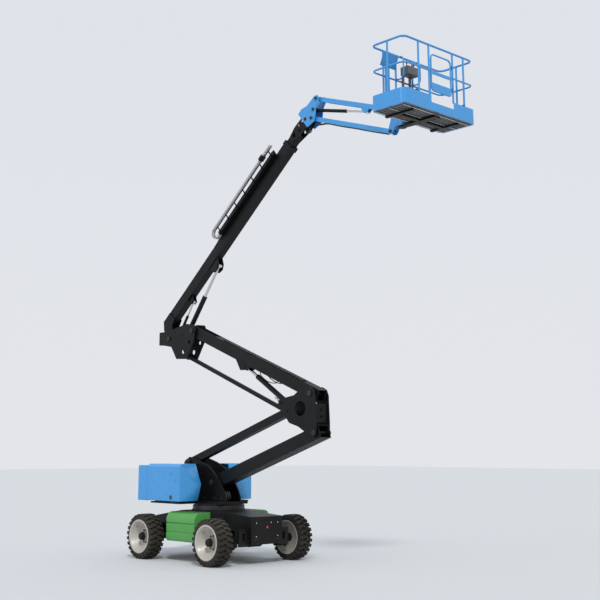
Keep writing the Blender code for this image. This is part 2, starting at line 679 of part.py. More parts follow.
# ---------------------------------------------------------------- main boom
def boom_parts():
    half = BOOM_W / 2
    low = BOOM_T - BOOM_D / 2
    high = BOOM_T + BOOM_D / 2
    wall = 0.010
    adds = [boom_box(0.02, BOOM_END, -half, half, low, high)]
    hollow = boom_box(-0.1, BOOM_END + 0.1, -half + wall, half - wall, low + wall, high - wall)
    pad = 0.008 - GAP
    near, far = BOOM_END - 0.12, BOOM_END - 0.02
    pads = [boom_box(near, far, -half + wall - 0.001, -half + wall + pad, low + 0.07, high - 0.07)]
    pads.append(boom_box(near, far, half - wall - pad, half - wall + 0.001, low + 0.07, high - 0.07))
    pads.append(boom_box(near, far, -0.04, 0.04, low + wall - 0.001, low + wall + pad))
    pads.append(boom_box(near, far, -0.04, 0.04, high - wall - pad, high - wall + 0.001))
    cuts = [combine([hollow], pads)]
    foot = [boom(-0.09, -0.02), boom(-0.06, 0.30), boom(0.05, high - 0.01), boom(0.32, high - 0.01)]
    foot += [boom(0.34, low - 0.01)]
    foot += [boom(0.20, 0.19), boom(0.14, 0.09), boom(0.12, -0.04), boom(0.04, -0.09), boom(-0.05, -0.08)]
    for side in (-1, 1):
        y0, y1 = sorted((side * (half - 0.004), side * (half + 0.018)))
        adds.append(prism_y(foot, y0, y1))
        bracket = [boom(1.75, low + 0.04), boom(1.85, 0.07), boom(1.97, 0.04), boom(2.06, 0.10)]
        bracket += [boom(2.14, low + 0.04)]
        adds.append(prism_y(bracket, min(side * 0.052, side * 0.068), max(side * 0.052, side * 0.068)))
        lug = [boom(0.86, low + 0.02), boom(0.91, 0.11), boom(0.99, 0.11), boom(1.06, low + 0.02)]
        adds.append(prism_y(lug, min(side * 0.034, side * 0.046), max(side * 0.034, side * 0.046)))
    for side in (-1, 1):
        adds.append(stub(LIFT_P, side * 0.055, side * 0.080, 0.035))
        adds.append(stub(LEVEL_1, side * 0.036, side * 0.056, 0.024))
    cuts.append(bore(BOOM_G, 0.2))
    collar_half = half + 0.012
    collar = boom_box(BOOM_END - 0.10, BOOM_END - 0.005, -collar_half, collar_half, low - 0.014, high + 0.012)
    adds.append(collar)
    node("main_boom", "black", adds, cuts, at(BOOM_G))

    fly_half = half - wall - 0.008
    fly_low = low + wall + 0.008
    fly_high = high - wall - 0.008
    wall = 0.008
    adds = [boom_box(1.2, FLY_END, -fly_half, fly_half, fly_low, fly_high)]
    cuts = [boom_box(1.0, FLY_END + 0.2, -fly_half + wall, fly_half - wall, fly_low + wall, fly_high - wall)]
    tip = [boom(5.08, 0.285), boom(5.08, 0.425), boom(5.30, 0.47), boom(5.62, 0.45), boom(5.70, 0.36)]
    tip += [boom(5.66, 0.24)]
    tip += [boom(5.55, 0.20), boom(5.35, 0.22)]
    for side in (-1, 1):
        y0, y1 = sorted((side * (fly_half - 0.003), side * (fly_half + 0.016)))
        adds.append(prism_y(tip, y0, y1))
    adds.append(pin(JIB_P, fly_half + 0.03, 0.028))
    adds.append(pin(SLAVE_0, fly_half + 0.0165, 0.016))
    for s, t, radius in ((5.20, 0.36, 0.045), (5.36, 0.31, 0.035), (5.40, 0.41, 0.03), (5.52, 0.40, 0.026)):
        cuts.append(pin(boom(s, t), 0.2, radius, 14))
    node("fly_boom", "black", adds, cuts, at(boom(BOOM_END, BOOM_T)))

    side_y = -half - GAP
    adds = [boom_box(2.55, 4.65, side_y - 0.11, side_y, 0.43, 0.445)]
    adds.append(boom_box(2.55, 4.65, side_y - 0.02, side_y, 0.435, 0.60))
    adds.append(boom_box(2.55, 4.65, side_y - 0.112, side_y - 0.10, 0.43, 0.60))
    adds.append(boom_box(2.45, 3.90, side_y - 0.092, side_y - 0.028, 0.44, 0.49))
    adds.append(boom_box(2.45, 4.72, side_y - 0.092, side_y - 0.028, 0.65, 0.70))
    outer = []
    inner = []
    for k in range(9):
        angle = math.pi / 2 + math.pi * k / 8
        outer.append(boom(2.48 + 0.128 * math.cos(angle), 0.57 + 0.128 * math.sin(angle)))
        inner.append(boom(2.48 + 0.083 * math.cos(angle), 0.57 + 0.083 * math.sin(angle)))
    adds.append(prism_y(outer + inner[::-1], side_y - 0.090, side_y - 0.030))
    adds.append(boom_box(4.30, 4.42, side_y - 0.112, side_y - 0.015, 0.59, 0.71))
    node("cable_track", "silver", adds, (), at(boom(2.3, high)))


# ---------------------------------------------------------------- jib
def jib():
    plate = [(2.60, 8.01), (2.36, 8.32), (2.45, 8.40), (2.60, 8.43), (2.80, 8.58), (2.88, 8.58), (2.92, 8.52)]
    plate += [(2.90, 8.45), (2.84, 8.36), (2.82, 8.20), (2.79, 8.09), (2.70, 8.05)]
    half = BOOM_W / 2
    adds = []
    for side in (-1, 1):
        y0, y1 = sorted((side * (half + 0.003), side * (half + 0.018)))
        adds.append(prism_y(plate, y0, y1))
    adds.append(pin(JIB_Q1, half + 0.030, 0.022))
    adds.append(pin(JIB_Q2, half + 0.032, 0.022))
    adds.append(pin(JIB_W0, half + 0.026, 0.02))
    lid = [(2.42, 8.35), (2.48, 8.395), (2.60, 8.42), (2.60, 8.405), (2.485, 8.38), (2.43, 8.34)]
    adds.append(prism_y(lid, -half - 0.010, half + 0.010))
    cuts = [bore(JIB_P, 0.2, 0.028)]
    node("jib_base", "blue", adds, cuts, at(JIB_P))

    lower_end = JIB_R1
    outer, inner = tube_beam(JIB_Q1, lower_end, 0.10, 0.085, 0.045, 0.045, 0.008)
    holes = [bore(JIB_Q1, 0.2, 0.022), bore(JIB_R1, 0.2, 0.022)]
    node("jib_lower_arm", "blue", [outer], [inner] + holes, at(JIB_Q1))
    outer, inner = tube_beam(JIB_Q2, JIB_R2, 0.10, 0.085, 0.045, 0.045, 0.008)
    holes = [bore(JIB_Q2, 0.2, 0.022), bore(JIB_R2, 0.2, 0.022)]
    adds = [outer]
    for side in (-1, 1):
        cheek = prism_y([(3.90, 8.14), (4.01, 7.97), (4.08, 7.97), (4.14, 8.02), (4.16, 8.06)], -0.006, 0.006)
        adds.append(moved(cheek, y=side * 0.042))
    for side in (-1, 1):
        adds.append(stub(JIB_X0, side * 0.038, side * 0.056, 0.022))
    foot = along(JIB_Q2, JIB_R2, 0.25)
    tip = along(JIB_Q2, JIB_R2, 1.42)
    drop = less(JIB_X0, along(JIB_Q2, JIB_R2, 1.29))
    slot = beam(add(foot, drop), add(tip, drop), 0.070, 0.19)
    node("jib_upper_arm", "blue", adds, [inner, slot] + holes, at(JIB_Q2))

    plate = [(JIB_R1[0] - 0.052, 7.437), (JIB_R1[0] - 0.06, 7.50), (JIB_R2[0] - 0.06, 7.85)]
    plate += [(JIB_R2[0] - 0.02, 7.89)]
    plate += [(JIB_R2[0] + 0.05, 7.88), (JIB_R2[0] + 0.065, 7.80), (4.852, 7.73), (4.852, 7.548)]
    plate += [(4.76, 7.546)]
    plate += [(4.72, 7.47), (JIB_R1[0] + 0.03, 7.43)]
    adds = []
    for side in (-1, 1):
        y0, y1 = sorted((side * 0.055, side * 0.069))
        adds.append(prism_y(plate, y0, y1))
    adds.append(pin(JIB_R1, 0.081, 0.022))
    adds.append(pin(JIB_R2, 0.083, 0.022))
    adds.append(cylinder_z(SWIVEL_X, 0, 7.54, 7.735, 0.078, 24))
    node("jib_head", "blue", adds, (), at(JIB_R2))


SLAVE_0 = boom(5.45, 0.245)
SLAVE_1 = boom(5.62, 0.43)


# ---------------------------------------------------------------- basket
def basket():
    half_l = BASKET_L / 2
    x0 = BASKET_X - BASKET_W / 2
    x1 = BASKET_X + BASKET_W / 2
    z = BASKET_Z
    origin = (SWIVEL_X, 0.0, z)
    adds = [cylinder_z(SWIVEL_X, 0, 7.505, 7.54 - GAP, 0.075, 24)]
    adds.append(box(SWIVEL_X - 0.02, x0 + 0.08, -0.05, 0.05, 7.508, 7.536))
    adds.append(box(SWIVEL_X + 0.095, x0 + 0.66, -0.068, 0.068, 7.512, z - GAP))
    adds.append(box(x0 + 0.04, x0 + 0.62, -0.62, -0.56, 7.515, z - GAP))
    adds.append(box(x0 + 0.04, x0 + 0.62, 0.56, 0.62, 7.515, z - GAP))
    adds.append(box(x0 + 0.26, x0 + 0.34, -0.60, 0.60, 7.515, z - GAP))
    node("basket_support", "black", adds, (), origin)

    corners = [(x0, -half_l), (x1, -half_l), (x1, half_l), (x0, half_l)]
    outline = rounded([(x, y, 0) for x, y in corners], 0.10)
    outer = [(p.x, p.y) for p in outline]
    inset = [(x0 + 0.005, -half_l + 0.005), (x1 - 0.005, -half_l + 0.005), (x1 - 0.005, half_l - 0.005)]
    inset.append((x0 + 0.005, half_l - 0.005))
    inner = [(p.x, p.y) for p in rounded([(x, y, 0) for x, y in inset], 0.095)]
    tray = prism_z(outer, z, z + TOE)
    hollow = prism_z(inner, z + 0.03, z + TOE + 0.1)
    gate_y = GATE
    gap = box(x1 - 0.1, x1 + 0.1, gate_y[0], gate_y[1], z + 0.14, z + TOE + 0.1)
    node("basket_floor", "blue", [tray], [hollow, gap], origin)

    def loop(height):
        return rounded([(x, y, z + height) for x, y in shrink(corners, 0.022)], 0.10)

    top = swept(loop(RAIL_TOP - RAIL_R), RAIL_R, 8, True)
    mid = swept(loop(RAIL_MID), RAIL_R * 0.85, 8, True)
    adds = [top, mid]
    xr = x1 - 0.022
    xl = x0 + 0.022
    for x, y in POSTS:
        px = xl if x < 0 else xr
        if x == 0:
            px = BASKET_X
            y_post = y * (half_l - 0.022)
        else:
            y_post = y
        adds.append(rod((px, y_post, z + TOE + GAP), (px, y_post, z + RAIL_TOP - RAIL_R), RAIL_R * 0.95, 8))
    doorway = (gate_y[0] + 0.010, gate_y[1] - 0.0207)
    cuts = [box(x1 - 0.1, x1 + 0.1, doorway[0], doorway[1], z + RAIL_MID - 0.05, z + RAIL_MID + 0.05)]
    front = x1 - 0.05
    rear = x0 + 0.05
    far = BASKET_L
    node("basket_rails_front", "blue", adds, cuts + [box(x0 - 1, front, -far, far, z, z + 2)], origin)
    hoops = []
    for y in (-0.30, 0.14):
        run = [(xl, y, z + RAIL_MID), (x0 + 0.20, y, z + RAIL_MID), (x0 + 0.20, y, z + 1.10)]
        run += [(xl, y, z + 1.10)]
        hoops.append(swept(rounded(run, 0.07), 0.013, 8, True))
    rear_rails = combine(adds, [box(rear, x1 + 1, -far, far, z, z + 2)])
    node("basket_rails_rear", "blue", [rear_rails] + hoops, (), origin)
    for side, tag in ((-1, "right"), (1, "left")):
        low, high = sorted((side * 0.3, -side * far))
        others = [box(x0 - 1, rear + GAP, -far, far, z, z + 2), box(front - GAP, x1 + 1, -far, far, z, z + 2)]
        others.append(box(x0 - 0.5, x1 + 0.5, low, high, z - 0.1, z + 2.1))
        node("basket_rails_" + tag, "blue", adds, others, origin)

    y0 = gate_y[0] + 0.035
    y1 = gate_y[1] - 0.035
    frame = rounded([(xr, y0, z + 0.36), (xr, y1, z + 0.36), (xr, y1, z + 1.0), (xr, y0, z + 1.0)], 0.07)
    adds = [swept(frame, 0.014, 16, True)]
    adds.append(box(xr - 0.006, xr + 0.006, y0, y1, z + 0.365, z + 0.50))
    adds.append(box(xr - 0.006, xr + 0.006, y0, y1, z + 0.65, z + 0.71))
    node("basket_gate", "blue", adds, (), (xr, y1, z + 0.6))

    adds = [box(x0 + 0.06, x0 + 0.24, -0.22, 0.06, z + 0.79, z + 0.94)]
    adds.append(box(x0 + 0.06, x0 + 0.10, -0.20, -0.16, z + 0.03 + GAP, z + 0.80))
    adds.append(box(x0 + 0.06, x0 + 0.10, -0.02, 0.02, z + 0.03 + GAP, z + 0.80))
    node("control_console", "grey", adds, (), origin)
    cover = [(x0 + 0.05, z + 0.86), (x0 + 0.062, z + 0.86), (x0 + 0.152, z + 1.08), (x0 + 0.14, z + 1.08)]
    adds = [prism_y(cover, -0.74, -0.36)]
    adds += [box(x0 + 0.0373, x0 + 0.060, -0.60, -0.50, z + TOE - 0.20, z + 0.88)]
    node("console_cover", "blue", adds, (), origin)


def shrink(corners, amount):
    (xa, ya), (xb, _), (_, yb), _ = corners
    xa, xb = xa + amount, xb - amount
    ya, yb = ya + amount, yb - amount
    return [(xa, ya), (xb, ya), (xb, yb), (xa, yb)]


GATE = (-0.26, 0.33)
POSTS = [(1, -0.55), (1, GATE[0] - 0.02), (1, GATE[1] + 0.02), (1, 0.65), (0, -1), (0, 1)]
POSTS += [(-1, -0.62), (-1, -0.30), (-1, 0.14), (-1, 0.62)]


def main():
    clear()
    chassis()
    axle("front_axle", WHEELBASE / 2, True)
    axle("rear_axle", -WHEELBASE / 2, False)
    for end, x in (("front", WHEELBASE / 2), ("rear", -WHEELBASE / 2)):
        for side, hand in ((1, "left"), (-1, "right")):
            wheel(end + "_" + hand, x, side)
    steering_knuckle("left", 1)
    steering_knuckle("right", -1)
    turntable()
    riser()
    cylinder("riser_cylinder", RISER_J, RISER_K, 0.050, 0.030, 0.98, 0.03, 0.025, 0.29)
    cylinder("boom_cylinder", LIFT_H, LIFT_P, 0.050, 0.028, 0.95, 0.03, 0.03, 0.28)
    cylinder("level_cylinder", LEVEL_0, LEVEL_1, 0.028, 0.016, 0.42, 0.02, 0.018, 0.16)
    boom_parts()
    cylinder("jib_cylinder", JIB_W0, JIB_X0, 0.032, 0.018, 0.80, 0.02, 0.016, 0.28)
    jib()
    basket()
    low = [1e9] * 3
    high = [-1e9] * 3
    for made in NODES:
        for vertex in made.data.vertices:
            spot = vertex.co + Vector(made.location)
            for i in range(3):
                low[i] = min(low[i], spot[i])
                high[i] = max(high[i], spot[i])
    shift = Vector(((low[0] + high[0]) / 2, (low[1] + high[1]) / 2, low[2]))
    for made in NODES:
        made.location = Vector(made.location) - shift
    print("shift", tuple(round(c, 6) for c in shift))


main()
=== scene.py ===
"""Looks for the articulating boom lift: paint, rubber, chrome, tread, bolts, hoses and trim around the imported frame."""

import json
import math
import random

import bmesh
import bpy
from mathutils import Matrix, Vector


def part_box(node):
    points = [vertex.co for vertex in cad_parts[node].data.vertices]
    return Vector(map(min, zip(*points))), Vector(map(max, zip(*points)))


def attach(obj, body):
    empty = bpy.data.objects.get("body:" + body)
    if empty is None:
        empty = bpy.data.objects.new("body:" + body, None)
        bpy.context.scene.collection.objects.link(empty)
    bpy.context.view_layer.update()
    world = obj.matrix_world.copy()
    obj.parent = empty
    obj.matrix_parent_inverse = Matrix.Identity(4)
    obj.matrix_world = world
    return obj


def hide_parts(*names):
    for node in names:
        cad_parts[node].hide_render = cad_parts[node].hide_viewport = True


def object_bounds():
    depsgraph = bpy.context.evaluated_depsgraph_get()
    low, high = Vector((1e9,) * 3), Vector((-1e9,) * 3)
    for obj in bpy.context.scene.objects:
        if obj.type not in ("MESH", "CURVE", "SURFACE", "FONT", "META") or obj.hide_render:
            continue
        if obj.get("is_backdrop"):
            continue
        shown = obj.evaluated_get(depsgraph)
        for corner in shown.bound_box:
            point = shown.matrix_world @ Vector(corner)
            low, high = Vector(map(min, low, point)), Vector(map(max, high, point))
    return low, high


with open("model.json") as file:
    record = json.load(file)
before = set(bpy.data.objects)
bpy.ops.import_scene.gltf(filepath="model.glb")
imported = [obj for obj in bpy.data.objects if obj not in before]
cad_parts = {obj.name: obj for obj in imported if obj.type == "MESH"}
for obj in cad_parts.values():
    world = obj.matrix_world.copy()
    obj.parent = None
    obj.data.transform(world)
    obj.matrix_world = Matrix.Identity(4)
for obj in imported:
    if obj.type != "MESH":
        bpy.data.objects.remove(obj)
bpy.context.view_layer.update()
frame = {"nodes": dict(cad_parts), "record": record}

RECORD = frame["record"]
BODIES = RECORD["behaviour"]["bodies"]
NODE_BODY = {node: body for body, nodes in BODIES.items() for node in nodes}
JOINT = {j["name"]: Vector(j["pos_m"]) for j in RECORD["behaviour"]["joints"] if j.get("pos_m")}


def middle(node):
    low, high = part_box(node)
    return (low + high) / 2


RING = middle("slew_ring")
WHEEL = middle("rim_front_left")
TYRE_R = 0.42
ORIGIN = Vector((RING.x, RING.y, WHEEL.z - TYRE_R))


def W(x, y, z):
    """A point given from the slew axis and the ground, in the row frame."""
    return ORIGIN + Vector((x, y, z))


random.seed(7)


# ------------------------------------------------------------------ materials
def node_of(tree, kind, **sockets):
    made = tree.nodes.new(kind)
    for name, value in sockets.items():
        made.inputs[name.replace("_", " ")].default_value = value
    return made


def ramp(tree, source, low, high, start=0.0, end=1.0):
    """source remapped so that low..high becomes start..end, clamped."""
    made = tree.nodes.new("ShaderNodeMapRange")
    made.inputs["From Min"].default_value = low
    made.inputs["From Max"].default_value = high
    made.inputs["To Min"].default_value = start
    made.inputs["To Max"].default_value = end
    tree.links.new(source, made.inputs["Value"])
    return made.outputs["Result"]


def maths(tree, kind, first, second):
    made = tree.nodes.new("ShaderNodeMath")
    made.operation = kind
    made.use_clamp = kind != "SUBTRACT"
    for socket, value in zip(made.inputs, (first, second)):
        if isinstance(value, (int, float)):
            socket.default_value = value
        else:
            tree.links.new(value, socket)
    return made.outputs["Value"]


def mixed(tree, factor, first, second):
    made = tree.nodes.new("ShaderNodeMix")
    made.data_type = "RGBA"
    made.blend_type = "MIX"
    for socket, value in ((made.inputs[0], factor), (made.inputs[6], first), (made.inputs[7], second)):
        if isinstance(value, (int, float)):
            socket.default_value = value
        elif isinstance(value, tuple):
            socket.default_value = (*value, 1.0)
        else:
            tree.links.new(value, socket)
    return made.outputs[2]


def noise(tree, coords, scale, detail=4.0, rough=0.55, stretch=None):
    source = coords
    if stretch:
        mapping = tree.nodes.new("ShaderNodeMapping")
        mapping.inputs["Scale"].default_value = stretch
        tree.links.new(coords, mapping.inputs["Vector"])
        source = mapping.outputs["Vector"]
    made = node_of(tree, "ShaderNodeTexNoise", Scale=scale, Detail=detail, Roughness=rough)
    tree.links.new(source, made.inputs["Vector"])
    return made.outputs["Fac"]


def surface(name, colour, rough, metal=0.0, vary=0.10, dust=0.25, dust_colour=(0.30, 0.26, 0.21), edge_wear_and_highlight=0.0,
            edge_wear_and_highlight_colour=(0.35, 0.35, 0.36), bump=0.05, grain=90.0, edge=0.004, coat=0.0, low_dirt=0.0, specular=0.5):
    """A weathered surface: mottled colour, dust that gathers on top, scuffed edges and a fine surface grain. On the
    blue and green paint the edge scuffs are lighter copies of the paint colour, so they are a painted edge highlight
    as well as wear.
    """
    material = bpy.data.materials.new(name)
    material.use_nodes = True
    tree = material.node_tree
    shader = tree.nodes["Principled BSDF"]
    shader.inputs["Metallic"].default_value = metal
    shader.inputs["Coat Weight"].default_value = coat
    shader.inputs["Coat Roughness"].default_value = 0.12
    shader.inputs["Specular IOR Level"].default_value = specular
    coords = tree.nodes.new("ShaderNodeTexCoord").outputs["Object"]
    geometry = tree.nodes.new("ShaderNodeNewGeometry")
    broad = noise(tree, coords, 1.7, 5.0)
    fine = noise(tree, coords, 23.0, 6.0, 0.65)
    grit = noise(tree, coords, grain, 3.0, 0.6)
    darker = tuple(c * (1 - vary) for c in colour)
    lighter = tuple(min(1.0, c * (1 + vary)) for c in colour)
    tone = mixed(tree, ramp(tree, broad, 0.35, 0.65), darker, lighter)
    tone = mixed(tree, ramp(tree, fine, 0.55, 0.75, 0.0, 0.35), tone, tuple(c * (1 - 1.6 * vary) for c in colour))
    split = tree.nodes.new("ShaderNodeSeparateXYZ")
    tree.links.new(geometry.outputs["Normal"], split.inputs[0])
    upward = ramp(tree, split.outputs["Z"], 0.2, 0.95)
    patches = ramp(tree, fine, 0.38, 0.62)
    film = maths(tree, "MULTIPLY", maths(tree, "MULTIPLY", upward, patches), dust)
    haze = ramp(tree, broad, 0.42, 0.72, 0.0, dust * 0.35)
    film = maths(tree, "ADD", film, haze)
    if low_dirt:
        place = tree.nodes.new("ShaderNodeSeparateXYZ")
        tree.links.new(coords, place.inputs[0])
        near = ramp(tree, place.outputs["Z"], 0.10, 0.62, low_dirt, 0.0)
        film = maths(tree, "ADD", film, maths(tree, "MULTIPLY", near, ramp(tree, fine, 0.3, 0.65)))
    tone = mixed(tree, film, tone, dust_colour)
    round_edge = node_of(tree, "ShaderNodeBevel", Radius=edge)
    round_edge.samples = 4
    # Edge mask from the bevel normal: edges take the edge colour in patches, as scuffs. On the blue and green paint
    # that colour is a lighter copy of the paint, so it is also a painted edge highlight.
    if edge_wear_and_highlight:
        dot = tree.nodes.new("ShaderNodeVectorMath")
        dot.operation = "DOT_PRODUCT"
        tree.links.new(round_edge.outputs[0], dot.inputs[0])
        tree.links.new(geometry.outputs["Normal"], dot.inputs[1])
        rubbed_and_highlit_edges = ramp(tree, dot.outputs["Value"], 0.97, 0.80, 0.0, 1.0)
        rubbed_and_highlit_edges = maths(tree, "MULTIPLY", rubbed_and_highlit_edges, ramp(tree, fine, 0.48, 0.62, 0.0, edge_wear_and_highlight))
        tone = mixed(tree, rubbed_and_highlit_edges, tone, edge_wear_and_highlight_colour)
    tree.links.new(tone, shader.inputs["Base Color"])
    base_rough = ramp(tree, fine, 0.3, 0.7, rough - 0.06, rough + 0.08)
    tree.links.new(maths(tree, "ADD", base_rough, maths(tree, "MULTIPLY", film, 0.5)), shader.inputs["Roughness"])
    relief = node_of(tree, "ShaderNodeBump", Strength=bump, Distance=0.002)
    tree.links.new(grit, relief.inputs["Height"])
    tree.links.new(round_edge.outputs[0], relief.inputs["Normal"])
    tree.links.new(relief.outputs["Normal"], shader.inputs["Normal"])
    return material


M = {
    "black": surface("black_paint", (0.0035, 0.0037, 0.0042), 0.46, vary=0.18, dust=0.02, edge_wear_and_highlight=0.45,
                     edge_wear_and_highlight_colour=(0.035, 0.034, 0.032), low_dirt=0.05, specular=0.20),
    # Blue paint: its edge colour is a lighter blue, a painted edge highlight as well as wear.
    "blue": surface("sky_blue_paint", (0.036, 0.270, 0.62), 0.28, vary=0.02, dust=0.02, edge_wear_and_highlight=0.15,
                    edge_wear_and_highlight_colour=(0.30, 0.55, 0.85), dust_colour=(0.42, 0.52, 0.62), coat=0.3, bump=0.03),
    # Green paint: its edge colour is a lighter green, a painted edge highlight as well as wear.
    "green": surface("green_paint", (0.060, 0.30, 0.052), 0.34, vary=0.05, dust=0.08, edge_wear_and_highlight=0.4,
                     edge_wear_and_highlight_colour=(0.30, 0.50, 0.28), coat=0.2, low_dirt=0.15, dust_colour=(0.26, 0.34, 0.2)),
    "rubber": surface("tyre_rubber", (0.024, 0.021, 0.018), 0.82, vary=0.15, dust=0.32, edge_wear_and_highlight=0.6,
                      edge_wear_and_highlight_colour=(0.11, 0.09, 0.07), dust_colour=(0.13, 0.105, 0.08), bump=0.35, grain=140.0,
                      edge=0.006, specular=0.3),
    "rim": surface("rim_paint", (0.44, 0.42, 0.375), 0.40, metal=0.15, vary=0.07, dust=0.35, edge_wear_and_highlight=0.3,
                   edge_wear_and_highlight_colour=(0.32, 0.30, 0.27), dust_colour=(0.33, 0.29, 0.24)),
    "chrome": surface("chromed_rod", (0.62, 0.62, 0.63), 0.12, metal=1.0, vary=0.03, dust=0.04, bump=0.01),
    "steel": surface("zinc_steel", (0.50, 0.49, 0.46), 0.34, metal=0.9, vary=0.10, dust=0.2, bump=0.08, grain=220.0),
    "dark_steel": surface("oiled_steel", (0.030, 0.030, 0.031), 0.42, metal=0.7, vary=0.15, dust=0.2, bump=0.1),
    "grey": surface("grey_paint", (0.10, 0.105, 0.11), 0.45, vary=0.1, dust=0.18, edge_wear_and_highlight=0.4),
    "chain": surface("chain_plastic", (0.42, 0.43, 0.44), 0.42, metal=0.25, vary=0.12, dust=0.2, edge_wear_and_highlight=0.3, bump=0.08),
    "plastic": surface("moulded_plastic", (0.040, 0.041, 0.044), 0.5, vary=0.12, dust=0.2, bump=0.3, grain=420.0),
    "hose": surface("hose_rubber", (0.014, 0.014, 0.015), 0.55, vary=0.1, dust=0.12, bump=0.15, grain=300.0),
    "red": surface("red_plastic", (0.62, 0.018, 0.015), 0.3, vary=0.06, dust=0.05, coat=0.3),
    "white": surface("white_plastic", (0.75, 0.75, 0.73), 0.45, vary=0.04, dust=0.12),
    "amber": surface("amber_lens", (0.72, 0.26, 0.02), 0.2, vary=0.05, dust=0.05, coat=0.4),
    "grit": surface("anti_slip_pad", (0.030, 0.031, 0.033), 0.9, vary=0.2, dust=0.35, bump=1.0, grain=520.0),
    "grille": surface("galvanised_grating", (0.16, 0.165, 0.17), 0.5, metal=0.5, vary=0.15, dust=0.3, bump=0.1),
}


# ------------------------------------------------------------------ mesh helpers
class Piece:
    """Collects shapes of one material into one mesh that rides on one body."""

    def __init__(self, name, body, finish, slot=None):
        self.name = name
        self.body = body
        self.finish = finish
        self.slot = slot
        self.mesh = bmesh.new()

    def verts(self, points):
        return [self.mesh.verts.new(p) for p in points]

    def box(self, low, high, turn=None, about=None):
        corners = [Vector((x, y, z)) for z in (low[2], high[2]) for y in (low[1], high[1]) for x in (low[0], high[0])]
        if turn is not None:
            about = about or (Vector(low) + Vector(high)) / 2
            corners = [about + turn @ (c - about) for c in corners]
        v = self.verts(corners)
        for face in ((0, 2, 3, 1), (4, 5, 7, 6), (0, 1, 5, 4), (2, 6, 7, 3), (0, 4, 6, 2), (1, 3, 7, 5)):
            self.mesh.faces.new([v[i] for i in face])

    def loft(self, rings, closed=False, caps=True):
        rows = [self.verts(ring) for ring in rings]
        count = len(rows[0])
        pairs = list(zip(rows, rows[1:]))
        if closed:
            pairs.append((rows[-1], rows[0]))
        for a, b in pairs:
            for i in range(count):
                j = (i + 1) % count
                self.mesh.faces.new((a[i], a[j], b[j], b[i]))
        if caps and not closed:
            self.mesh.faces.new(rows[0][::-1])
            self.mesh.faces.new(rows[-1])

    def rod(self, start, end, radius, count=16, end_radius=None):
        self.turned([(0.0, radius), (1.0, radius if end_radius is None else end_radius)], start, end, count)

    def turned(self, profile, start, end, count=24):
        """A lathe shape: profile is (share of the way from start to end, radius)."""
        start, end = Vector(start), Vector(end)
        along = end - start
        side = along.orthogonal().normalized()
        other = along.normalized().cross(side)
        rings = []
        for share, radius in profile:
            centre = start + along * share
            rings.append([centre + (side * math.cos(a) + other * math.sin(a)) * radius
                          for a in (2 * math.pi * k / count for k in range(count))])
        self.loft(rings)

    def prism(self, outline, y0, y1):
        """An (x, z) outline from the slew axis and ground, extruded along Y."""
        self.loft([[W(x, y, z) for x, z in outline] for y in (y0, y1)])

    def bolt(self, spot, axis, radius=0.012, height=0.009, washer=True):
        """A hexagon-headed bolt on a washer."""
        spot, axis = Vector(spot), Vector(axis).normalized()
        if washer:
            self.rod(spot, spot + axis * 0.003, radius * 1.45, 14)
            spot = spot + axis * 0.003
        side = axis.orthogonal().normalized()
        turn = Matrix.Rotation(random.random(), 3, axis)
        side = turn @ side
        other = axis.cross(side)
        rings = []
        for rise, share in ((0.0, 1.0), (0.82, 1.0), (1.0, 0.82)):
            centre = spot + axis * height * rise
            rings.append([centre + (side * math.cos(a) + other * math.sin(a)) * radius * share
                          for a in (math.pi * k / 3 for k in range(6))])
        self.loft(rings)

    def tube(self, points, radius, count=10, closed=False):
        """A round tube along points."""
        points = [Vector(p) for p in points]
        total = len(points)
        rings = []
        normal = None
        for i, point in enumerate(points):
            before = points[i - 1] if (i > 0 or closed) else point
            after = points[(i + 1) % total] if (i < total - 1 or closed) else point
            tangent = (after - before).normalized()
            if normal is None:
                normal = tangent.orthogonal().normalized()
            normal = (normal - tangent * normal.dot(tangent)).normalized()
            other = tangent.cross(normal)
            rings.append([point + (normal * math.cos(a) + other * math.sin(a)) * radius
                          for a in (2 * math.pi * k / count for k in range(count))])
        self.loft(rings, closed=closed)

    def done(self, bevel=0.0, angle=38.0, segments=2):
        mesh = bpy.data.meshes.new(self.name)
        bmesh.ops.recalc_face_normals(self.mesh, faces=self.mesh.faces)
        self.mesh.to_mesh(mesh)
        self.mesh.free()
        made = bpy.data.objects.new(self.name, mesh)
        bpy.context.scene.collection.objects.link(made)
        finish_mesh(made, bevel, angle, segments)
        made.data.materials.append(M[self.finish])
        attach(made, self.body)
        return made


def finish_mesh(made, bevel, angle, segments):
    """Rounds the sharp edges, then shades round surfaces smooth and keeps flats flat."""
    if bevel:
        cut = made.modifiers.new("bevel", "BEVEL")
        cut.width = bevel
        cut.segments = segments
        cut.limit_method = "ANGLE"
        cut.angle_limit = math.radians(angle)
        cut.use_clamp_overlap = True
        graph = bpy.context.evaluated_depsgraph_get()
        graph.update()
        baked = bpy.data.meshes.new_from_object(made.evaluated_get(graph))
        made.modifiers.clear()
        made.data = baked
        baked.name = made.name
    for face in made.data.polygons:
        face.use_smooth = True
    made.data.set_sharp_from_angle(angle=math.radians(angle))
    weigh = made.modifiers.new("weigh", "WEIGHTED_NORMAL")
    weigh.keep_sharp = True


def spline(points, steps=6):
    """Catmull-Rom points through the given ones."""
    points = [Vector(p) for p in points]
    padded = [2 * points[0] - points[1]] + points + [2 * points[-1] - points[-2]]
    found = []
    for i in range(1, len(padded) - 2):
        a, b, c, d = padded[i - 1:i + 3]
        for k in range(steps):
            t = k / steps
            found.append(0.5 * (2 * b + (c - a) * t + (2 * a - 5 * b + 4 * c - d) * t * t
                                + (3 * b - 3 * c + d - a) * t ** 3))
    found.append(points[-1])
    return found


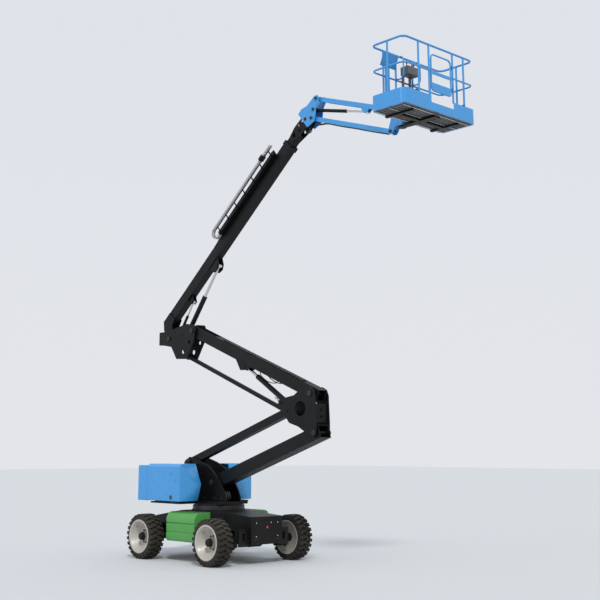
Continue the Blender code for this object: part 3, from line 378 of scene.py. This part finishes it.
def refined(node, finish, bevel=0.003, angle=40.0, segments=2, name=None):
    """A copy of a CAD node with its triangles joined into whole faces and its sharp edges rounded."""
    source = frame["nodes"][node]
    mesh = bmesh.new()
    mesh.from_mesh(source.data)
    bmesh.ops.remove_doubles(mesh, verts=mesh.verts, dist=1e-5)
    bmesh.ops.dissolve_limit(mesh, angle_limit=math.radians(0.6), verts=mesh.verts, edges=mesh.edges)
    data = bpy.data.meshes.new((name or node) + "_skin")
    mesh.to_mesh(data)
    mesh.free()
    made = bpy.data.objects.new((name or node) + "_skin", data)
    bpy.context.scene.collection.objects.link(made)
    finish_mesh(made, bevel, angle, segments)
    made.data.materials.clear()
    made.data.materials.append(M[finish])
    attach(made, NODE_BODY[node])
    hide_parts(node)
    return made


# ------------------------------------------------------------------ CAD nodes and their finishes
FINISH = {
    "black": ["chassis_frame", "front_axle", "rear_axle", "turntable_frame", "lower_arm", "lower_link", "mid_knuckle",
              "upper_arm", "upper_link", "upper_knuckle", "main_boom", "fly_boom", "basket_support",
              "riser_cylinder_barrel", "boom_cylinder_barrel", "level_cylinder_barrel", "jib_cylinder_barrel",
              "steering_knuckle_left", "steering_knuckle_right"],
    "blue": ["counterweight", "hood_left", "hood_right", "jib_base", "jib_lower_arm", "jib_upper_arm", "jib_head",
             "basket_floor", "basket_rails_front", "basket_rails_rear", "basket_rails_left", "basket_rails_right",
             "basket_gate", "console_cover"],
    "green": ["side_cover_left", "side_cover_right"],
    "chrome": ["riser_cylinder_rod", "boom_cylinder_rod", "level_cylinder_rod", "jib_cylinder_rod"],
    "dark_steel": ["slew_ring"],
    "grey": ["battery_pack", "hydraulic_tank", "pump_motor", "control_console"],
}
BEVEL = {"hood_left": 0.030, "hood_right": 0.030, "counterweight": 0.012, "side_cover_left": 0.006,
         "side_cover_right": 0.006, "lower_arm": 0.008, "upper_arm": 0.007, "main_boom": 0.007, "chassis_frame": 0.004,
         "control_console": 0.008, "basket_floor": 0.0015, "cable_track": 0.002, "lower_link": 0.006,
         "jib_lower_arm": 0.007, "jib_upper_arm": 0.007, "fly_boom": 0.003}
for key, nodes in FINISH.items():
    for each in nodes:
        refined(each, key, BEVEL.get(each, 0.002), segments=3 if BEVEL.get(each, 0) > 0.005 else 2)


# ------------------------------------------------------------------ wheels
def wheel(end, side_name):
    tag = f"{end}_{side_name}"
    body = NODE_BODY[f"tyre_{tag}"]
    out = 1 if side_name == "left" else -1
    centre = middle(f"rim_{tag}")
    half = 0.15
    tyre = Piece(f"tyre_tread_{tag}", body, "rubber")
    steps = 72
    carcass = [(-half + 0.012, 0.2955), (-half, 0.31), (-half - 0.001, 0.345), (-half + 0.004, 0.360),
               (-half + 0.022, 0.374), (-half + 0.05, 0.379), (0.0, 0.381), (half - 0.05, 0.379),
               (half - 0.022, 0.374), (half - 0.004, 0.360), (half + 0.001, 0.340), (half, 0.31),
               (half - 0.012, 0.2955)]
    rings = []
    for k in range(steps):
        a = 2 * math.pi * k / steps
        rings.append([centre + Vector((r * math.cos(a), out * y, r * math.sin(a))) for y, r in carcass])
    tyre.loft(rings, closed=True)
    lugs = 25
    pitch = 2 * math.pi / lugs
    stations = [
        (half + 0.0022, 0.343, half - 0.02, 0.345, 0.02, 0.17, 0.24),
        (half + 0.0042, 0.380, half - 0.03, 0.362, 0.00, 0.25, 0.31),
        (half + 0.0020, 0.402, half - 0.035, 0.368, 0.00, 0.27, 0.34),
        (half - 0.010, 0.4135, half - 0.04, 0.374, 0.00, 0.27, 0.34),
        (half - 0.040, 0.4165, half - 0.045, 0.374, 0.03, 0.26, 0.33),
        (half - 0.062, 0.4168, half - 0.062, 0.374, 0.13, 0.24, 0.31),
        (half - 0.085, 0.4168, half - 0.085, 0.374, 0.25, 0.24, 0.31),
        (half - 0.110, 0.4170, half - 0.110, 0.374, 0.28, 0.25, 0.31),
        (half - 0.135, 0.4170, half - 0.135, 0.374, 0.20, 0.23, 0.29),
        (half - 0.158, 0.4168, half - 0.158, 0.374, 0.06, 0.17, 0.24),
    ]
    for hand in (-1, 1):
        for k in range(lugs):
            base = pitch * (k + (0.5 if hand > 0 else 0.0))
            rings = []
            for y_top, r_top, y_low, r_low, shift, w_top, w_low in stations:
                angle = base + shift * pitch
                ring = []
                for y, r, w in ((y_top, r_top, -w_top), (y_top, r_top, w_top), (y_low, r_low, w_low), (y_low, r_low, -w_low)):
                    a = angle + w * pitch
                    ring.append(centre + Vector((r * math.cos(a), hand * y, r * math.sin(a))))
                rings.append(ring)
            tyre.loft(rings)
    made = tyre.done(0.0, angle=30.0)
    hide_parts(f"tyre_{tag}")

    rim = Piece(f"rim_dish_{tag}", body, "rim")
    profile = [(0.060, 0.045), (0.052, 0.085), (0.010, 0.095), (-0.012, 0.105), (-0.018, 0.135), (-0.012, 0.160),
               (0.018, 0.185), (0.068, 0.222), (0.112, 0.251), (0.132, 0.266), (half - 0.006, 0.272),
               (half + 0.004, 0.278), (half + 0.009, 0.287), (half + 0.010, 0.300), (half + 0.010, 0.309),
               (half + 0.005, 0.3125), (half + 0.0005, 0.311), (half - 0.010, 0.2955), (-half + 0.010, 0.2955),
               (-half - 0.0005, 0.311), (-half - 0.006, 0.3120), (-half - 0.010, 0.300), (-half + 0.002, 0.280),
               (-0.09, 0.262), (-0.075, 0.15), (-0.07, 0.06)]
    steps = 64
    rings = []
    for k in range(steps):
        a = 2 * math.pi * k / steps
        rings.append([centre + Vector((r * math.cos(a), out * y, r * math.sin(a))) for y, r in profile])
    rows = [rim.verts(ring) for ring in rings]
    for k in range(steps):
        a, b = rows[k], rows[(k + 1) % steps]
        for i in range(len(profile) - 1):
            rim.mesh.faces.new((a[i], a[i + 1], b[i + 1], b[i]))
    rim.mesh.faces.new([row[0] for row in rows])
    rim.mesh.faces.new([row[-1] for row in rows][::-1])
    made = rim.done(0.0, angle=40.0)
    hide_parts(f"rim_{tag}")

    outward = Vector((0, out, 0))
    hub = Piece(f"hub_{tag}", body, "black")
    at = centre + outward * 0.045
    hub.turned([(0, 0.088), (0.02, 0.088), (0.10, 0.080), (0.30, 0.078), (0.36, 0.066), (0.85, 0.062), (0.93, 0.052),
                (1.0, 0.046)], at, at + outward * 0.085, 40)
    hub.done(0.0, angle=30.0)
    studs = Piece(f"wheel_nuts_{tag}", body, "dark_steel")
    for k in range(9):
        a = 2 * math.pi * k / 9
        spot = centre + Vector((0.118 * math.cos(a), 0, 0.118 * math.sin(a))) + outward * -0.016
        studs.rod(spot - outward * 0.004, spot + outward * 0.034, 0.0075, 12)
        studs.bolt(spot, outward, 0.015, 0.016)
    for k in range(6):
        a = 2 * math.pi * (k + 0.5) / 6
        spot = centre + Vector((0.055 * math.cos(a), 0, 0.055 * math.sin(a))) + outward * 0.120
        studs.bolt(spot, outward, 0.006, 0.006, washer=False)
    studs.done(0.0008)
    valve = Piece(f"valve_{tag}", body, "hose")
    a = math.radians(130)
    root = centre + Vector((0.235 * math.cos(a), out * 0.078, 0.235 * math.sin(a)))
    valve.turned([(0, 0.009), (0.3, 0.007), (0.35, 0.0045), (0.8, 0.0045), (0.82, 0.006), (1.0, 0.005)],
                 root, root + Vector((-0.028 * math.cos(a), out * 0.035, -0.028 * math.sin(a))), 12)
    valve.done()


for end in ("front", "rear"):
    for side_name in ("left", "right"):
        wheel(end, side_name)


# ------------------------------------------------------------------ chassis trim
def pin_cap(piece, joint, body_y, radius, sides=(-1, 1)):
    """A round cap with a bolted keeper on each end of a pivot pin."""
    for hand in sides:
        spot = JOINT[joint] + Vector((0, hand * body_y, 0))
        out = Vector((0, hand, 0))
        piece.turned([(0, radius * 1.25), (0.55, radius * 1.25), (0.7, radius * 1.12), (0.75, radius * 0.8), (1, radius * 0.72)],
                     spot, spot + out * 0.012, 28)
        for k in range(3):
            a = 2 * math.pi * k / 3 + 0.4
            bolt_at = spot + out * 0.008 + Vector((math.cos(a), 0, math.sin(a))) * radius * 0.98
            piece.bolt(bolt_at, out, radius * 0.16, 0.006)


def chassis_trim():
    ring = Piece("slew_ring_bolts", "chassis", "dark_steel")
    for k in range(30):
        a = 2 * math.pi * k / 30
        ring.bolt(W(0.486 * math.cos(a), 0.486 * math.sin(a), 1.005), (0, 0, 1), 0.0085, 0.008)
    ring.done(0.0008)
    nose = Piece("nose_button", "chassis", "red")
    nose.turned([(0, 0.020), (0.3, 0.022), (0.8, 0.021), (1.0, 0.014)], W(1.3995, 0.0, 0.66), W(1.412, 0.0, 0.66), 24)
    nose.done()
    dots = Piece("nose_screws", "chassis", "white")
    for y, z in ((-0.26, 0.74), (0.26, 0.74), (-0.26, 0.50), (0.26, 0.50), (0.10, 0.74)):
        dots.turned([(0, 0.009), (0.6, 0.009), (1.0, 0.006)], W(1.3995, y, z), W(1.405, y, z), 14)
    dots.done()
    eyes = Piece("tie_down_eyes", "chassis", "dark_steel")
    for end in (-1, 1):
        for hand in (-1, 1):
            x = 1.40 if end > 0 else -1.50
            centre = W(x - end * 0.012, hand * 0.27, 0.41)
            eyes.tube([centre + Vector((0.0 + end * 0.02, 0.035 * math.cos(t), 0.035 * math.sin(t)))
                       for t in (2 * math.pi * k / 20 for k in range(20))], 0.007, 10, closed=True)
            eyes.box(W(x - 0.004, hand * 0.27 - 0.05, 0.43), W(x + 0.004, hand * 0.27 + 0.05, 0.46))
    eyes.done(0.001)
    seam = Piece("nose_cover_plate", "chassis", "black")
    seam.box(W(1.3995, -0.30, 0.47), W(1.4025, 0.30, 0.78))
    seam.done(0.002)
    for hand, tag in ((-1, "right"), (1, "left")):
        pad = Piece(f"cover_treads_{tag}", "chassis", "grit")
        for row in range(4):
            y = hand * (0.60 + row * 0.062)
            for k in range(13):
                x = -0.39 + k * 0.065
                pad.turned([(0, 0.019), (0.6, 0.017), (1.0, 0.010)], W(x, y, 0.8995), W(x, y, 0.9035), 10)
        pad.done()
        trim = Piece(f"cover_bolts_{tag}", "chassis", "dark_steel")
        for x in (-0.36, -0.12, 0.12, 0.36):
            trim.bolt(W(x, hand * 0.9145, 0.455), (0, hand, 0), 0.010, 0.006)
        trim.done(0.0006)


chassis_trim()


# ------------------------------------------------------------------ turntable trim
def turntable_trim():
    for hand, tag in ((-1, "right"), (1, "left")):
        body = f"hood_{tag}"
        latch = Piece(f"hood_latch_{tag}", body, "plastic")
        face = hand * 0.9005
        inner, outer = sorted((face - hand * 0.001, face + hand * 0.006))
        latch.box(W(-0.385, inner, 1.125), W(-0.315, outer, 1.195))
        latch.turned([(0, 0.022), (0.5, 0.022), (1.0, 0.014)], W(-0.35, face, 1.165), W(-0.35, face + hand * 0.012, 1.165), 24)
        for x, z in ((-0.33, 1.60), (-0.22, 1.47)):
            latch.turned([(0, 0.013), (0.6, 0.012), (1.0, 0.007)], W(x, face, z), W(x, face + hand * 0.004, z), 16)
        latch.done(0.001)
    frame_bolts = Piece("turntable_bolts", "turntable", "dark_steel")
    for hand in (-1, 1):
        for x, z in ((0.30, 1.13), (0.10, 1.13), (-0.20, 1.13), (-0.60, 1.13), (-0.85, 1.13), (-0.80, 1.60), (-0.30, 1.60)):
            frame_bolts.bolt(W(x, hand * 0.1905, z), (0, hand, 0), 0.012, 0.009)
    pin_cap(frame_bolts, "riser_lift", 0.209, 0.042)
    pin_cap(frame_bolts, "lower_link_pivot", 0.209, 0.036)
    frame_bolts.done(0.0008)
    hoses = Piece("turntable_hoses", "turntable", "hose")
    for k in range(3):
        y = -0.10 + k * 0.045
        run = [(0.30, y, 1.085), (0.36, y, 1.16), (0.30, y, 1.26), (0.20, y, 1.20), (0.10, y * 0.8, 1.10), (-0.2, y, 1.095), (-0.8, y, 1.10)]
        hoses.tube(spline([W(*point) for point in run], 8), 0.011, 10)
    hoses.done()
    caps = Piece("tank_and_battery_caps", "turntable", "dark_steel")
    caps.turned([(0, 0.055), (0.2, 0.055), (0.3, 0.042), (0.8, 0.040), (1.0, 0.03)], W(-0.79, 0.64, 1.601), W(-0.79, 0.64, 1.635), 24)
    for row in range(4):
        for k in range(3):
            centre = W(-0.88 + row * 0.17, -0.74 + k * 0.10, 1.6005)
            caps.turned([(0, 0.022), (0.7, 0.020), (1.0, 0.012)], centre, centre + Vector((0, 0, 0.012)), 16)
    caps.done(0.0008)


turntable_trim()


# ------------------------------------------------------------------ arms, pins and hoses
def along_line(start, end, share, normal=0.0, y=0.0):
    """A point part of the way between two joints, moved up square to the line between them."""
    way = end - start
    lift = Vector((-way.z, 0, way.x)).normalized()
    if lift.z < 0:
        lift = -lift
    return start + way * share + lift * normal + Vector((0, y, 0))


def arm_hoses(name, body, start, end, normal, ys, radius, sag=0.006, first=0.05, last=0.95):
    hoses = Piece(name, body, "hose")
    clips = Piece(name + "_clips", body, "dark_steel")
    for y in ys:
        points = []
        for k in range(25):
            share = first + (last - first) * k / 24
            lift = normal + radius + sag * math.sin(math.pi * k / 6) ** 2
            points.append(along_line(start, end, share, lift, y))
        hoses.tube(points, radius, 10)
    for k in range(0, 25, 6):
        share = first + (last - first) * k / 24
        a = along_line(start, end, share, normal - 0.002, min(ys) - radius - 0.008)
        b = along_line(start, end, share, normal - 0.002, max(ys) + radius + 0.008)
        rise = along_line(start, end, share, normal + 2 * radius + 0.004, 0) - along_line(start, end, share, normal - 0.002, 0)
        step = (end - start).normalized() * 0.013
        clips.loft([[a - step, a + step, a + step + rise, a - step + rise], [b - step, b + step, b + step + rise, b - step + rise]])
    hoses.done()
    clips.done(0.001)


def arm_trim():
    a, b = JOINT["riser_lift"], JOINT["mid_knuckle_level"]
    c, d = JOINT["upper_arm_pivot"], JOINT["upper_knuckle_level"]
    arm_hoses("lower_arm_hoses", "lower_arm", a, b, 0.1177, (0.02, 0.05, 0.08), 0.010, last=0.86)
    arm_hoses("upper_arm_hoses", "upper_arm", c, d, 0.1102, (-0.07, -0.045, -0.02, 0.01), 0.009, first=0.10, last=0.74)
    knuckle = Piece("knuckle_pin_caps", "mid_knuckle", "dark_steel")
    pin_cap(knuckle, "mid_knuckle_level", 0.192, 0.042)
    pin_cap(knuckle, "upper_arm_pivot", 0.192, 0.042)
    knuckle.done(0.0008)
    top = Piece("upper_knuckle_caps", "upper_knuckle", "dark_steel")
    pin_cap(top, "boom_lift", 0.163, 0.042)
    pin_cap(top, "upper_knuckle_level", 0.161, 0.040)
    top.done(0.0008)
    loop = Piece("riser_eye_hoses", "upper_arm", "hose")
    for hand in (-1, 1):
        run = [along_line(c, d, 0.40, -0.11, hand * 0.086), along_line(c, d, 0.38, -0.17, hand * 0.090),
               along_line(c, d, 0.32, -0.20, hand * 0.092), along_line(c, d, 0.27, -0.16, hand * 0.092),
               along_line(c, d, 0.26, -0.112, hand * 0.090)]
        loop.tube(spline(run, 8), 0.009, 10)
    loop.done()
    valve = Piece("riser_valve_block", "riser_cylinder_barrel", "steel")
    base, head = JOINT["riser_cylinder_pivot"], JOINT["riser_cylinder_pivot"] + Vector((-1.13, 0, 0.71)).normalized()
    for share, size in ((0.22, 0.030), (0.30, 0.022)):
        middle_at = along_line(base, head, share, -0.068, 0.0)
        valve.box(middle_at - Vector((0.035, size, 0.022)), middle_at + Vector((0.035, size, 0.022)))
        valve.rod(middle_at + Vector((0.0, size, 0)), middle_at + Vector((0.0, size + 0.020, 0)), 0.010, 14)
    valve.done(0.002)


arm_trim()


# ------------------------------------------------------------------ boom trim
BOOM_ROOT = JOINT["boom_lift"]
BOOM_ANGLE = math.radians(40.0)
BOOM_ALONG = Vector((math.cos(BOOM_ANGLE), 0, math.sin(BOOM_ANGLE)))
BOOM_RISE = Vector((-math.sin(BOOM_ANGLE), 0, math.cos(BOOM_ANGLE)))


def boom(s, y, t):
    return BOOM_ROOT + BOOM_ALONG * s + BOOM_RISE * t + Vector((0, y, 0))


def boom_block(piece, s0, s1, y0, y1, t0, t1):
    piece.loft([[boom(s, y0, t0), boom(s, y1, t0), boom(s, y1, t1), boom(s, y0, t1)] for s in (s0, s1)])


def cable_track():
    side = -0.0853
    tray = Piece("cable_tray", "main_boom", "black")
    boom_block(tray, 2.55, 4.65, side - 0.110, side, 0.430, 0.436)
    boom_block(tray, 2.55, 4.65, side - 0.006, side, 0.430, 0.600)
    boom_block(tray, 2.55, 4.65, side - 0.112, side - 0.107, 0.430, 0.500)
    for k in range(7):
        s = 2.60 + k * 0.33
        boom_block(tray, s, s + 0.03, side - 0.112, side - 0.106, 0.430, 0.590)
    boom_block(tray, 2.55, 4.65, side - 0.112, side - 0.106, 0.580, 0.600)
    boom_block(tray, 4.30, 4.42, side - 0.112, side - 0.015, 0.640, 0.710)
    made = tray.done(0.0015)
    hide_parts("cable_track")
    chain = Piece("cable_chain", "main_boom", "chain")
    pitch = 0.052
    spots = []
    for k in range(27):
        spots.append((3.86 - k * pitch, 0.465, 0.0))
    for k in range(1, 8):
        a = math.pi * k / 8
        spots.append((2.48 - 0.105 * math.sin(a), 0.57 - 0.105 * math.cos(a), a))
    for k in range(43):
        spots.append((2.48 + k * pitch, 0.675, 0.0))
    for s, t, turn in spots:
        way = BOOM_ALONG * math.cos(turn) - BOOM_RISE * math.sin(turn)
        rise = BOOM_RISE * math.cos(turn) + BOOM_ALONG * math.sin(turn)
        at = boom(s, 0, t)
        for y0, y1, half_s, half_t in ((side - 0.092, side - 0.083, 0.0285, 0.021), (side - 0.037, side - 0.028, 0.0285, 0.021),
                                       (side - 0.084, side - 0.036, 0.011, 0.017)):
            corners = [at - way * half_s - rise * half_t, at + way * half_s - rise * half_t,
                       at + way * half_s + rise * half_t, at - way * half_s + rise * half_t]
            chain.loft([[c + Vector((0, y, 0)) for c in corners] for y in (y0, y1)])
    chain.done(0.0015, segments=1)


def boom_trim():
    pads = Piece("boom_wear_pads", "main_boom", "dark_steel")
    for s in (4.93, 4.965):
        for y in (-0.05, 0.0, 0.05):
            pads.bolt(boom(s, y, 0.4745), BOOM_RISE, 0.009, 0.007)
        for t in (0.30, 0.41):
            for hand in (-1, 1):
                pads.bolt(boom(s, hand * 0.0970, t), (0, hand, 0), 0.009, 0.007)
    for hand in (-1, 1):
        for s, t in ((0.02, 0.12), (0.10, 0.22), (0.20, 0.34), (0.27, 0.42)):
            pads.bolt(boom(s, hand * 0.1030, t), (0, hand, 0), 0.010, 0.007)
    pads.done(0.0008)
    hoses = Piece("boom_hoses", "main_boom", "hose")
    for k in range(3):
        y = -0.04 + 0.035 * k
        run = [boom(0.25, y, 0.4725), boom(0.9, y, 0.4745), boom(1.6, y, 0.4725), boom(2.3, y - 0.03, 0.4745),
               boom(2.60, -0.100, 0.50), boom(2.75, -0.125, 0.50)]
        hoses.tube(spline(run, 10), 0.009, 10)
    hoses.done()
    tip = Piece("fly_tip_bolts", "fly_boom", "dark_steel")
    pin_cap(tip, "jib_base_level", 0.097, 0.030)
    for hand in (-1, 1):
        for s, t in ((5.14, 0.31), (5.14, 0.40), (5.24, 0.43), (5.60, 0.38), (5.60, 0.28)):
            tip.bolt(boom(s, hand * 0.0830, t), (0, hand, 0), 0.008, 0.006)
    tip.done(0.0006)
    loops = Piece("fly_tip_hoses", "fly_boom", "hose")
    for k in range(3):
        y = -0.035 + 0.035 * k
        run = [boom(5.02, y, 0.385), boom(5.20, y, 0.40), boom(5.34, y, 0.445), boom(5.46, y, 0.43), boom(5.50, y, 0.34)]
        loops.tube(spline(run, 8), 0.008, 10)
    loops.done()


cable_track()
boom_trim()


# ------------------------------------------------------------------ jib trim
def jib_trim():
    q1, q2 = JOINT["jib_lift"], JOINT["jib_upper_pivot"]
    base = Piece("jib_base_caps", "jib_base", "dark_steel")
    for joint in ("jib_lift", "jib_upper_pivot", "jib_cylinder_pivot"):
        pin_cap(base, joint, 0.1175 if joint != "jib_cylinder_pivot" else 0.112, 0.025)
    base.done(0.0006)
    head = Piece("jib_head_caps", "jib_head", "dark_steel")
    pin_cap(head, "jib_head_level", 0.0835, 0.025)
    upper_end = JOINT["jib_head_level"] + (q2 - q1)
    for hand in (-1, 1):
        spot = upper_end + Vector((0, hand * 0.0835, 0))
        head.turned([(0, 0.030), (0.6, 0.030), (1, 0.018)], spot, spot + Vector((0, hand * 0.012, 0)), 28)
    centre = JOINT["platform_rotate"]
    for k in range(10):
        a = 2 * math.pi * k / 10
        head.bolt(Vector((centre.x + 0.060 * math.cos(a), centre.y + 0.060 * math.sin(a), centre.z + 0.1702)), (0, 0, 1), 0.006, 0.006)
    head.done(0.0006)
    hoses = Piece("jib_hoses", "jib_lower_arm", "hose")
    way = JOINT["jib_head_level"] - q1
    for y in (-0.030, 0.0, 0.030):
        run = [along_line(q1, JOINT["jib_head_level"], share, -0.0435 - 0.008 - sag, y)
               for share, sag in ((0.06, 0.05), (0.10, 0.030), (0.18, 0.0), (0.35, 0.004), (0.55, 0.0), (0.75, 0.004), (0.95, 0.0))]
        hoses.tube(spline(run, 8), 0.008, 10)
    hoses.done()
    loop = Piece("jib_base_cables", "jib_base", "hose")
    for y in (-0.03, 0.0, 0.03):
        run = [q1 + Vector((-0.17, y, 0.02)), q1 + Vector((-0.23, y, -0.12)), q1 + Vector((-0.21, y, -0.22)),
               q1 + Vector((-0.13, y, -0.21)), q1 + Vector((-0.11, y, -0.07))]
        loop.tube(spline(run, 8), 0.008, 10)
    loop.done()


jib_trim()


# ------------------------------------------------------------------ basket trim
def basket_trim():
    low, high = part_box("basket_floor")
    under = Piece("basket_grating", "basket", "grille")
    z = low.z
    under.box(Vector((low.x + 0.04, low.y + 0.05, z - 0.004)), Vector((high.x - 0.04, high.y - 0.05, z - 0.0008)))
    for k in range(24):
        y = low.y + 0.09 + k * (high.y - low.y - 0.18) / 23
        under.box(Vector((low.x + 0.06, y - 0.004, z - 0.016)), Vector((high.x - 0.06, y + 0.004, z - 0.004)))
    under.done(0.0008, segments=1)
    rails = Piece("basket_cross_rails", "basket", "steel")
    for share in (0.12, 0.50, 0.88):
        x = low.x + (high.x - low.x) * share
        rails.box(Vector((x - 0.010, low.y + 0.06, z - 0.024)), Vector((x + 0.010, high.y - 0.06, z - 0.015)))
    rails.done(0.001)
    mat = Piece("basket_floor_mat", "basket", "grit")
    for k in range(5):
        y0 = low.y + 0.06 + k * (high.y - low.y - 0.12) / 5
        mat.box(Vector((low.x + 0.05, y0 + 0.004, z + 0.0302)), Vector((high.x - 0.05, y0 + (high.y - low.y - 0.12) / 5 - 0.004, z + 0.033)))
    mat.done(0.001)
    c_low, c_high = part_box("control_console")
    top = c_high.z
    knobs = Piece("console_joysticks", "basket", "hose")
    for y in (c_low.y + 0.05, c_high.y - 0.05):
        spot = Vector((c_low.x + 0.10, y, top - 0.001))
        knobs.turned([(0, 0.026), (0.12, 0.024), (0.25, 0.016), (0.35, 0.008), (0.6, 0.008), (0.68, 0.017), (0.92, 0.018), (1, 0.010)],
                     spot, spot + Vector((0.008, 0, 0.095)), 20)
    for k in range(5):
        spot = Vector((c_low.x + 0.045, c_low.y + 0.09 + k * 0.025, top - 0.001))
        knobs.turned([(0, 0.007), (0.3, 0.006), (0.4, 0.003), (1, 0.0035)], spot, spot + Vector((0.003, 0, 0.022)), 10)
    knobs.done()
    stop = Piece("console_stop_button", "basket", "red")
    spot = Vector((c_high.x - 0.035, (c_low.y + c_high.y) / 2, top - 0.001))
    stop.turned([(0, 0.011), (0.35, 0.011), (0.4, 0.020), (0.8, 0.021), (1, 0.013)], spot, spot + Vector((0, 0, 0.028)), 24)
    stop.done()
    lamps = Piece("console_lamps", "basket", "amber")
    for k in range(3):
        spot = Vector((c_high.x - 0.055, c_low.y + 0.05 + k * 0.022, top - 0.001))
        lamps.turned([(0, 0.006), (0.6, 0.006), (1, 0.003)], spot, spot + Vector((0, 0, 0.006)), 12)
    lamps.done()
    clamps = Piece("rail_clamps", "basket", "dark_steel")
    f_low, f_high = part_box("basket_floor")
    for x in (f_low.x + 0.022, f_high.x - 0.022):
        for y in (-0.62, 0.62):
            spot = Vector((x, y + ORIGIN.y, f_high.z + 0.004))
            clamps.turned([(0, 0.028), (0.5, 0.028), (0.7, 0.023), (1, 0.021)], spot - Vector((0, 0, 0.003)), spot + Vector((0, 0, 0.02)), 20)
    clamps.done()
    gate_low, gate_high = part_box("basket_gate")
    hinge = Piece("gate_hinges", "gate", "dark_steel")
    for share in (0.2, 0.8):
        z0 = gate_low.z + (gate_high.z - gate_low.z) * share
        hinge.rod((middle("basket_gate").x, gate_high.y - 0.002, z0 - 0.03), (middle("basket_gate").x, gate_high.y - 0.002, z0 + 0.03), 0.0165, 16)
    hinge.done(0.001)


basket_trim()


# ------------------------------------------------------------------ floor, light and camera
def stage():
    low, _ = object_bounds()
    floor_mesh = bpy.data.meshes.new("studio_floor")
    height = low.z - 0.0005
    floor_mesh.from_pydata([(x, y, height) for x, y in ((-90, -90), (90, -90), (90, 90), (-90, 90))], [], [(0, 1, 2, 3)])
    floor = bpy.data.objects.new("studio_floor", floor_mesh)
    bpy.context.scene.collection.objects.link(floor)
    pale = bpy.data.materials.new("studio_white")
    pale.use_nodes = True
    shader = pale.node_tree.nodes["Principled BSDF"]
    shader.inputs["Base Color"].default_value = (0.60, 0.61, 0.62, 1)
    shader.inputs["Roughness"].default_value = 0.9
    shader.inputs["Specular IOR Level"].default_value = 0.1
    floor_mesh.materials.append(pale)
    floor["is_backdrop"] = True


def sun(name, energy, direction, angle, colour=(1, 1, 1)):
    data = bpy.data.lights.new(name, "SUN")
    data.energy = energy
    data.angle = math.radians(angle)
    data.color = colour
    made = bpy.data.objects.new(name, data)
    made.rotation_mode = "QUATERNION"
    made.rotation_quaternion = Vector(direction).to_track_quat("-Z", "Y")
    bpy.context.scene.collection.objects.link(made)


def lights_and_camera():
    world = bpy.data.worlds.new("studio_sky")
    bpy.context.scene.world = world
    world.use_nodes = True
    tree = world.node_tree
    back = tree.nodes["Background"]
    coords = tree.nodes.new("ShaderNodeTexCoord")
    split = tree.nodes.new("ShaderNodeSeparateXYZ")
    tree.links.new(coords.outputs["Generated"], split.inputs[0])
    height = ramp(tree, split.outputs["Z"], -0.1, 0.9)
    tree.links.new(mixed(tree, height, (0.95, 0.96, 1.0), (0.85, 0.92, 1.0)), back.inputs["Color"])
    back.inputs["Strength"].default_value = 0.82
    sun("key_light", 1.7, (-0.75, 0.55, -0.95), 8.0, (1.0, 0.98, 0.94))
    sun("fill_light", 0.45, (0.25, 1.0, -0.25), 25.0, (0.92, 0.96, 1.0))

    spot = ORIGIN + Vector((16.4727, -13.5513, 2.045))
    right = Vector((0.6812, 0.73209, 0.0))
    up = Vector((0.15255, -0.14195, 0.97805))
    back_axis = right.cross(up)
    camera = bpy.data.cameras.new("camera")
    camera.sensor_width = 36.0
    camera.lens = 63.93
    camera.shift_x = 0.0233
    camera.shift_y = -0.1286
    camera.clip_end = 400.0
    made = bpy.data.objects.new("camera", camera)
    bpy.context.scene.collection.objects.link(made)
    made.matrix_world = Matrix.Translation(spot) @ Matrix((right, up, back_axis)).transposed().to_4x4()
    bpy.context.scene.camera = made
    bpy.context.scene.view_settings.view_transform = "Standard"


stage()
lights_and_camera()
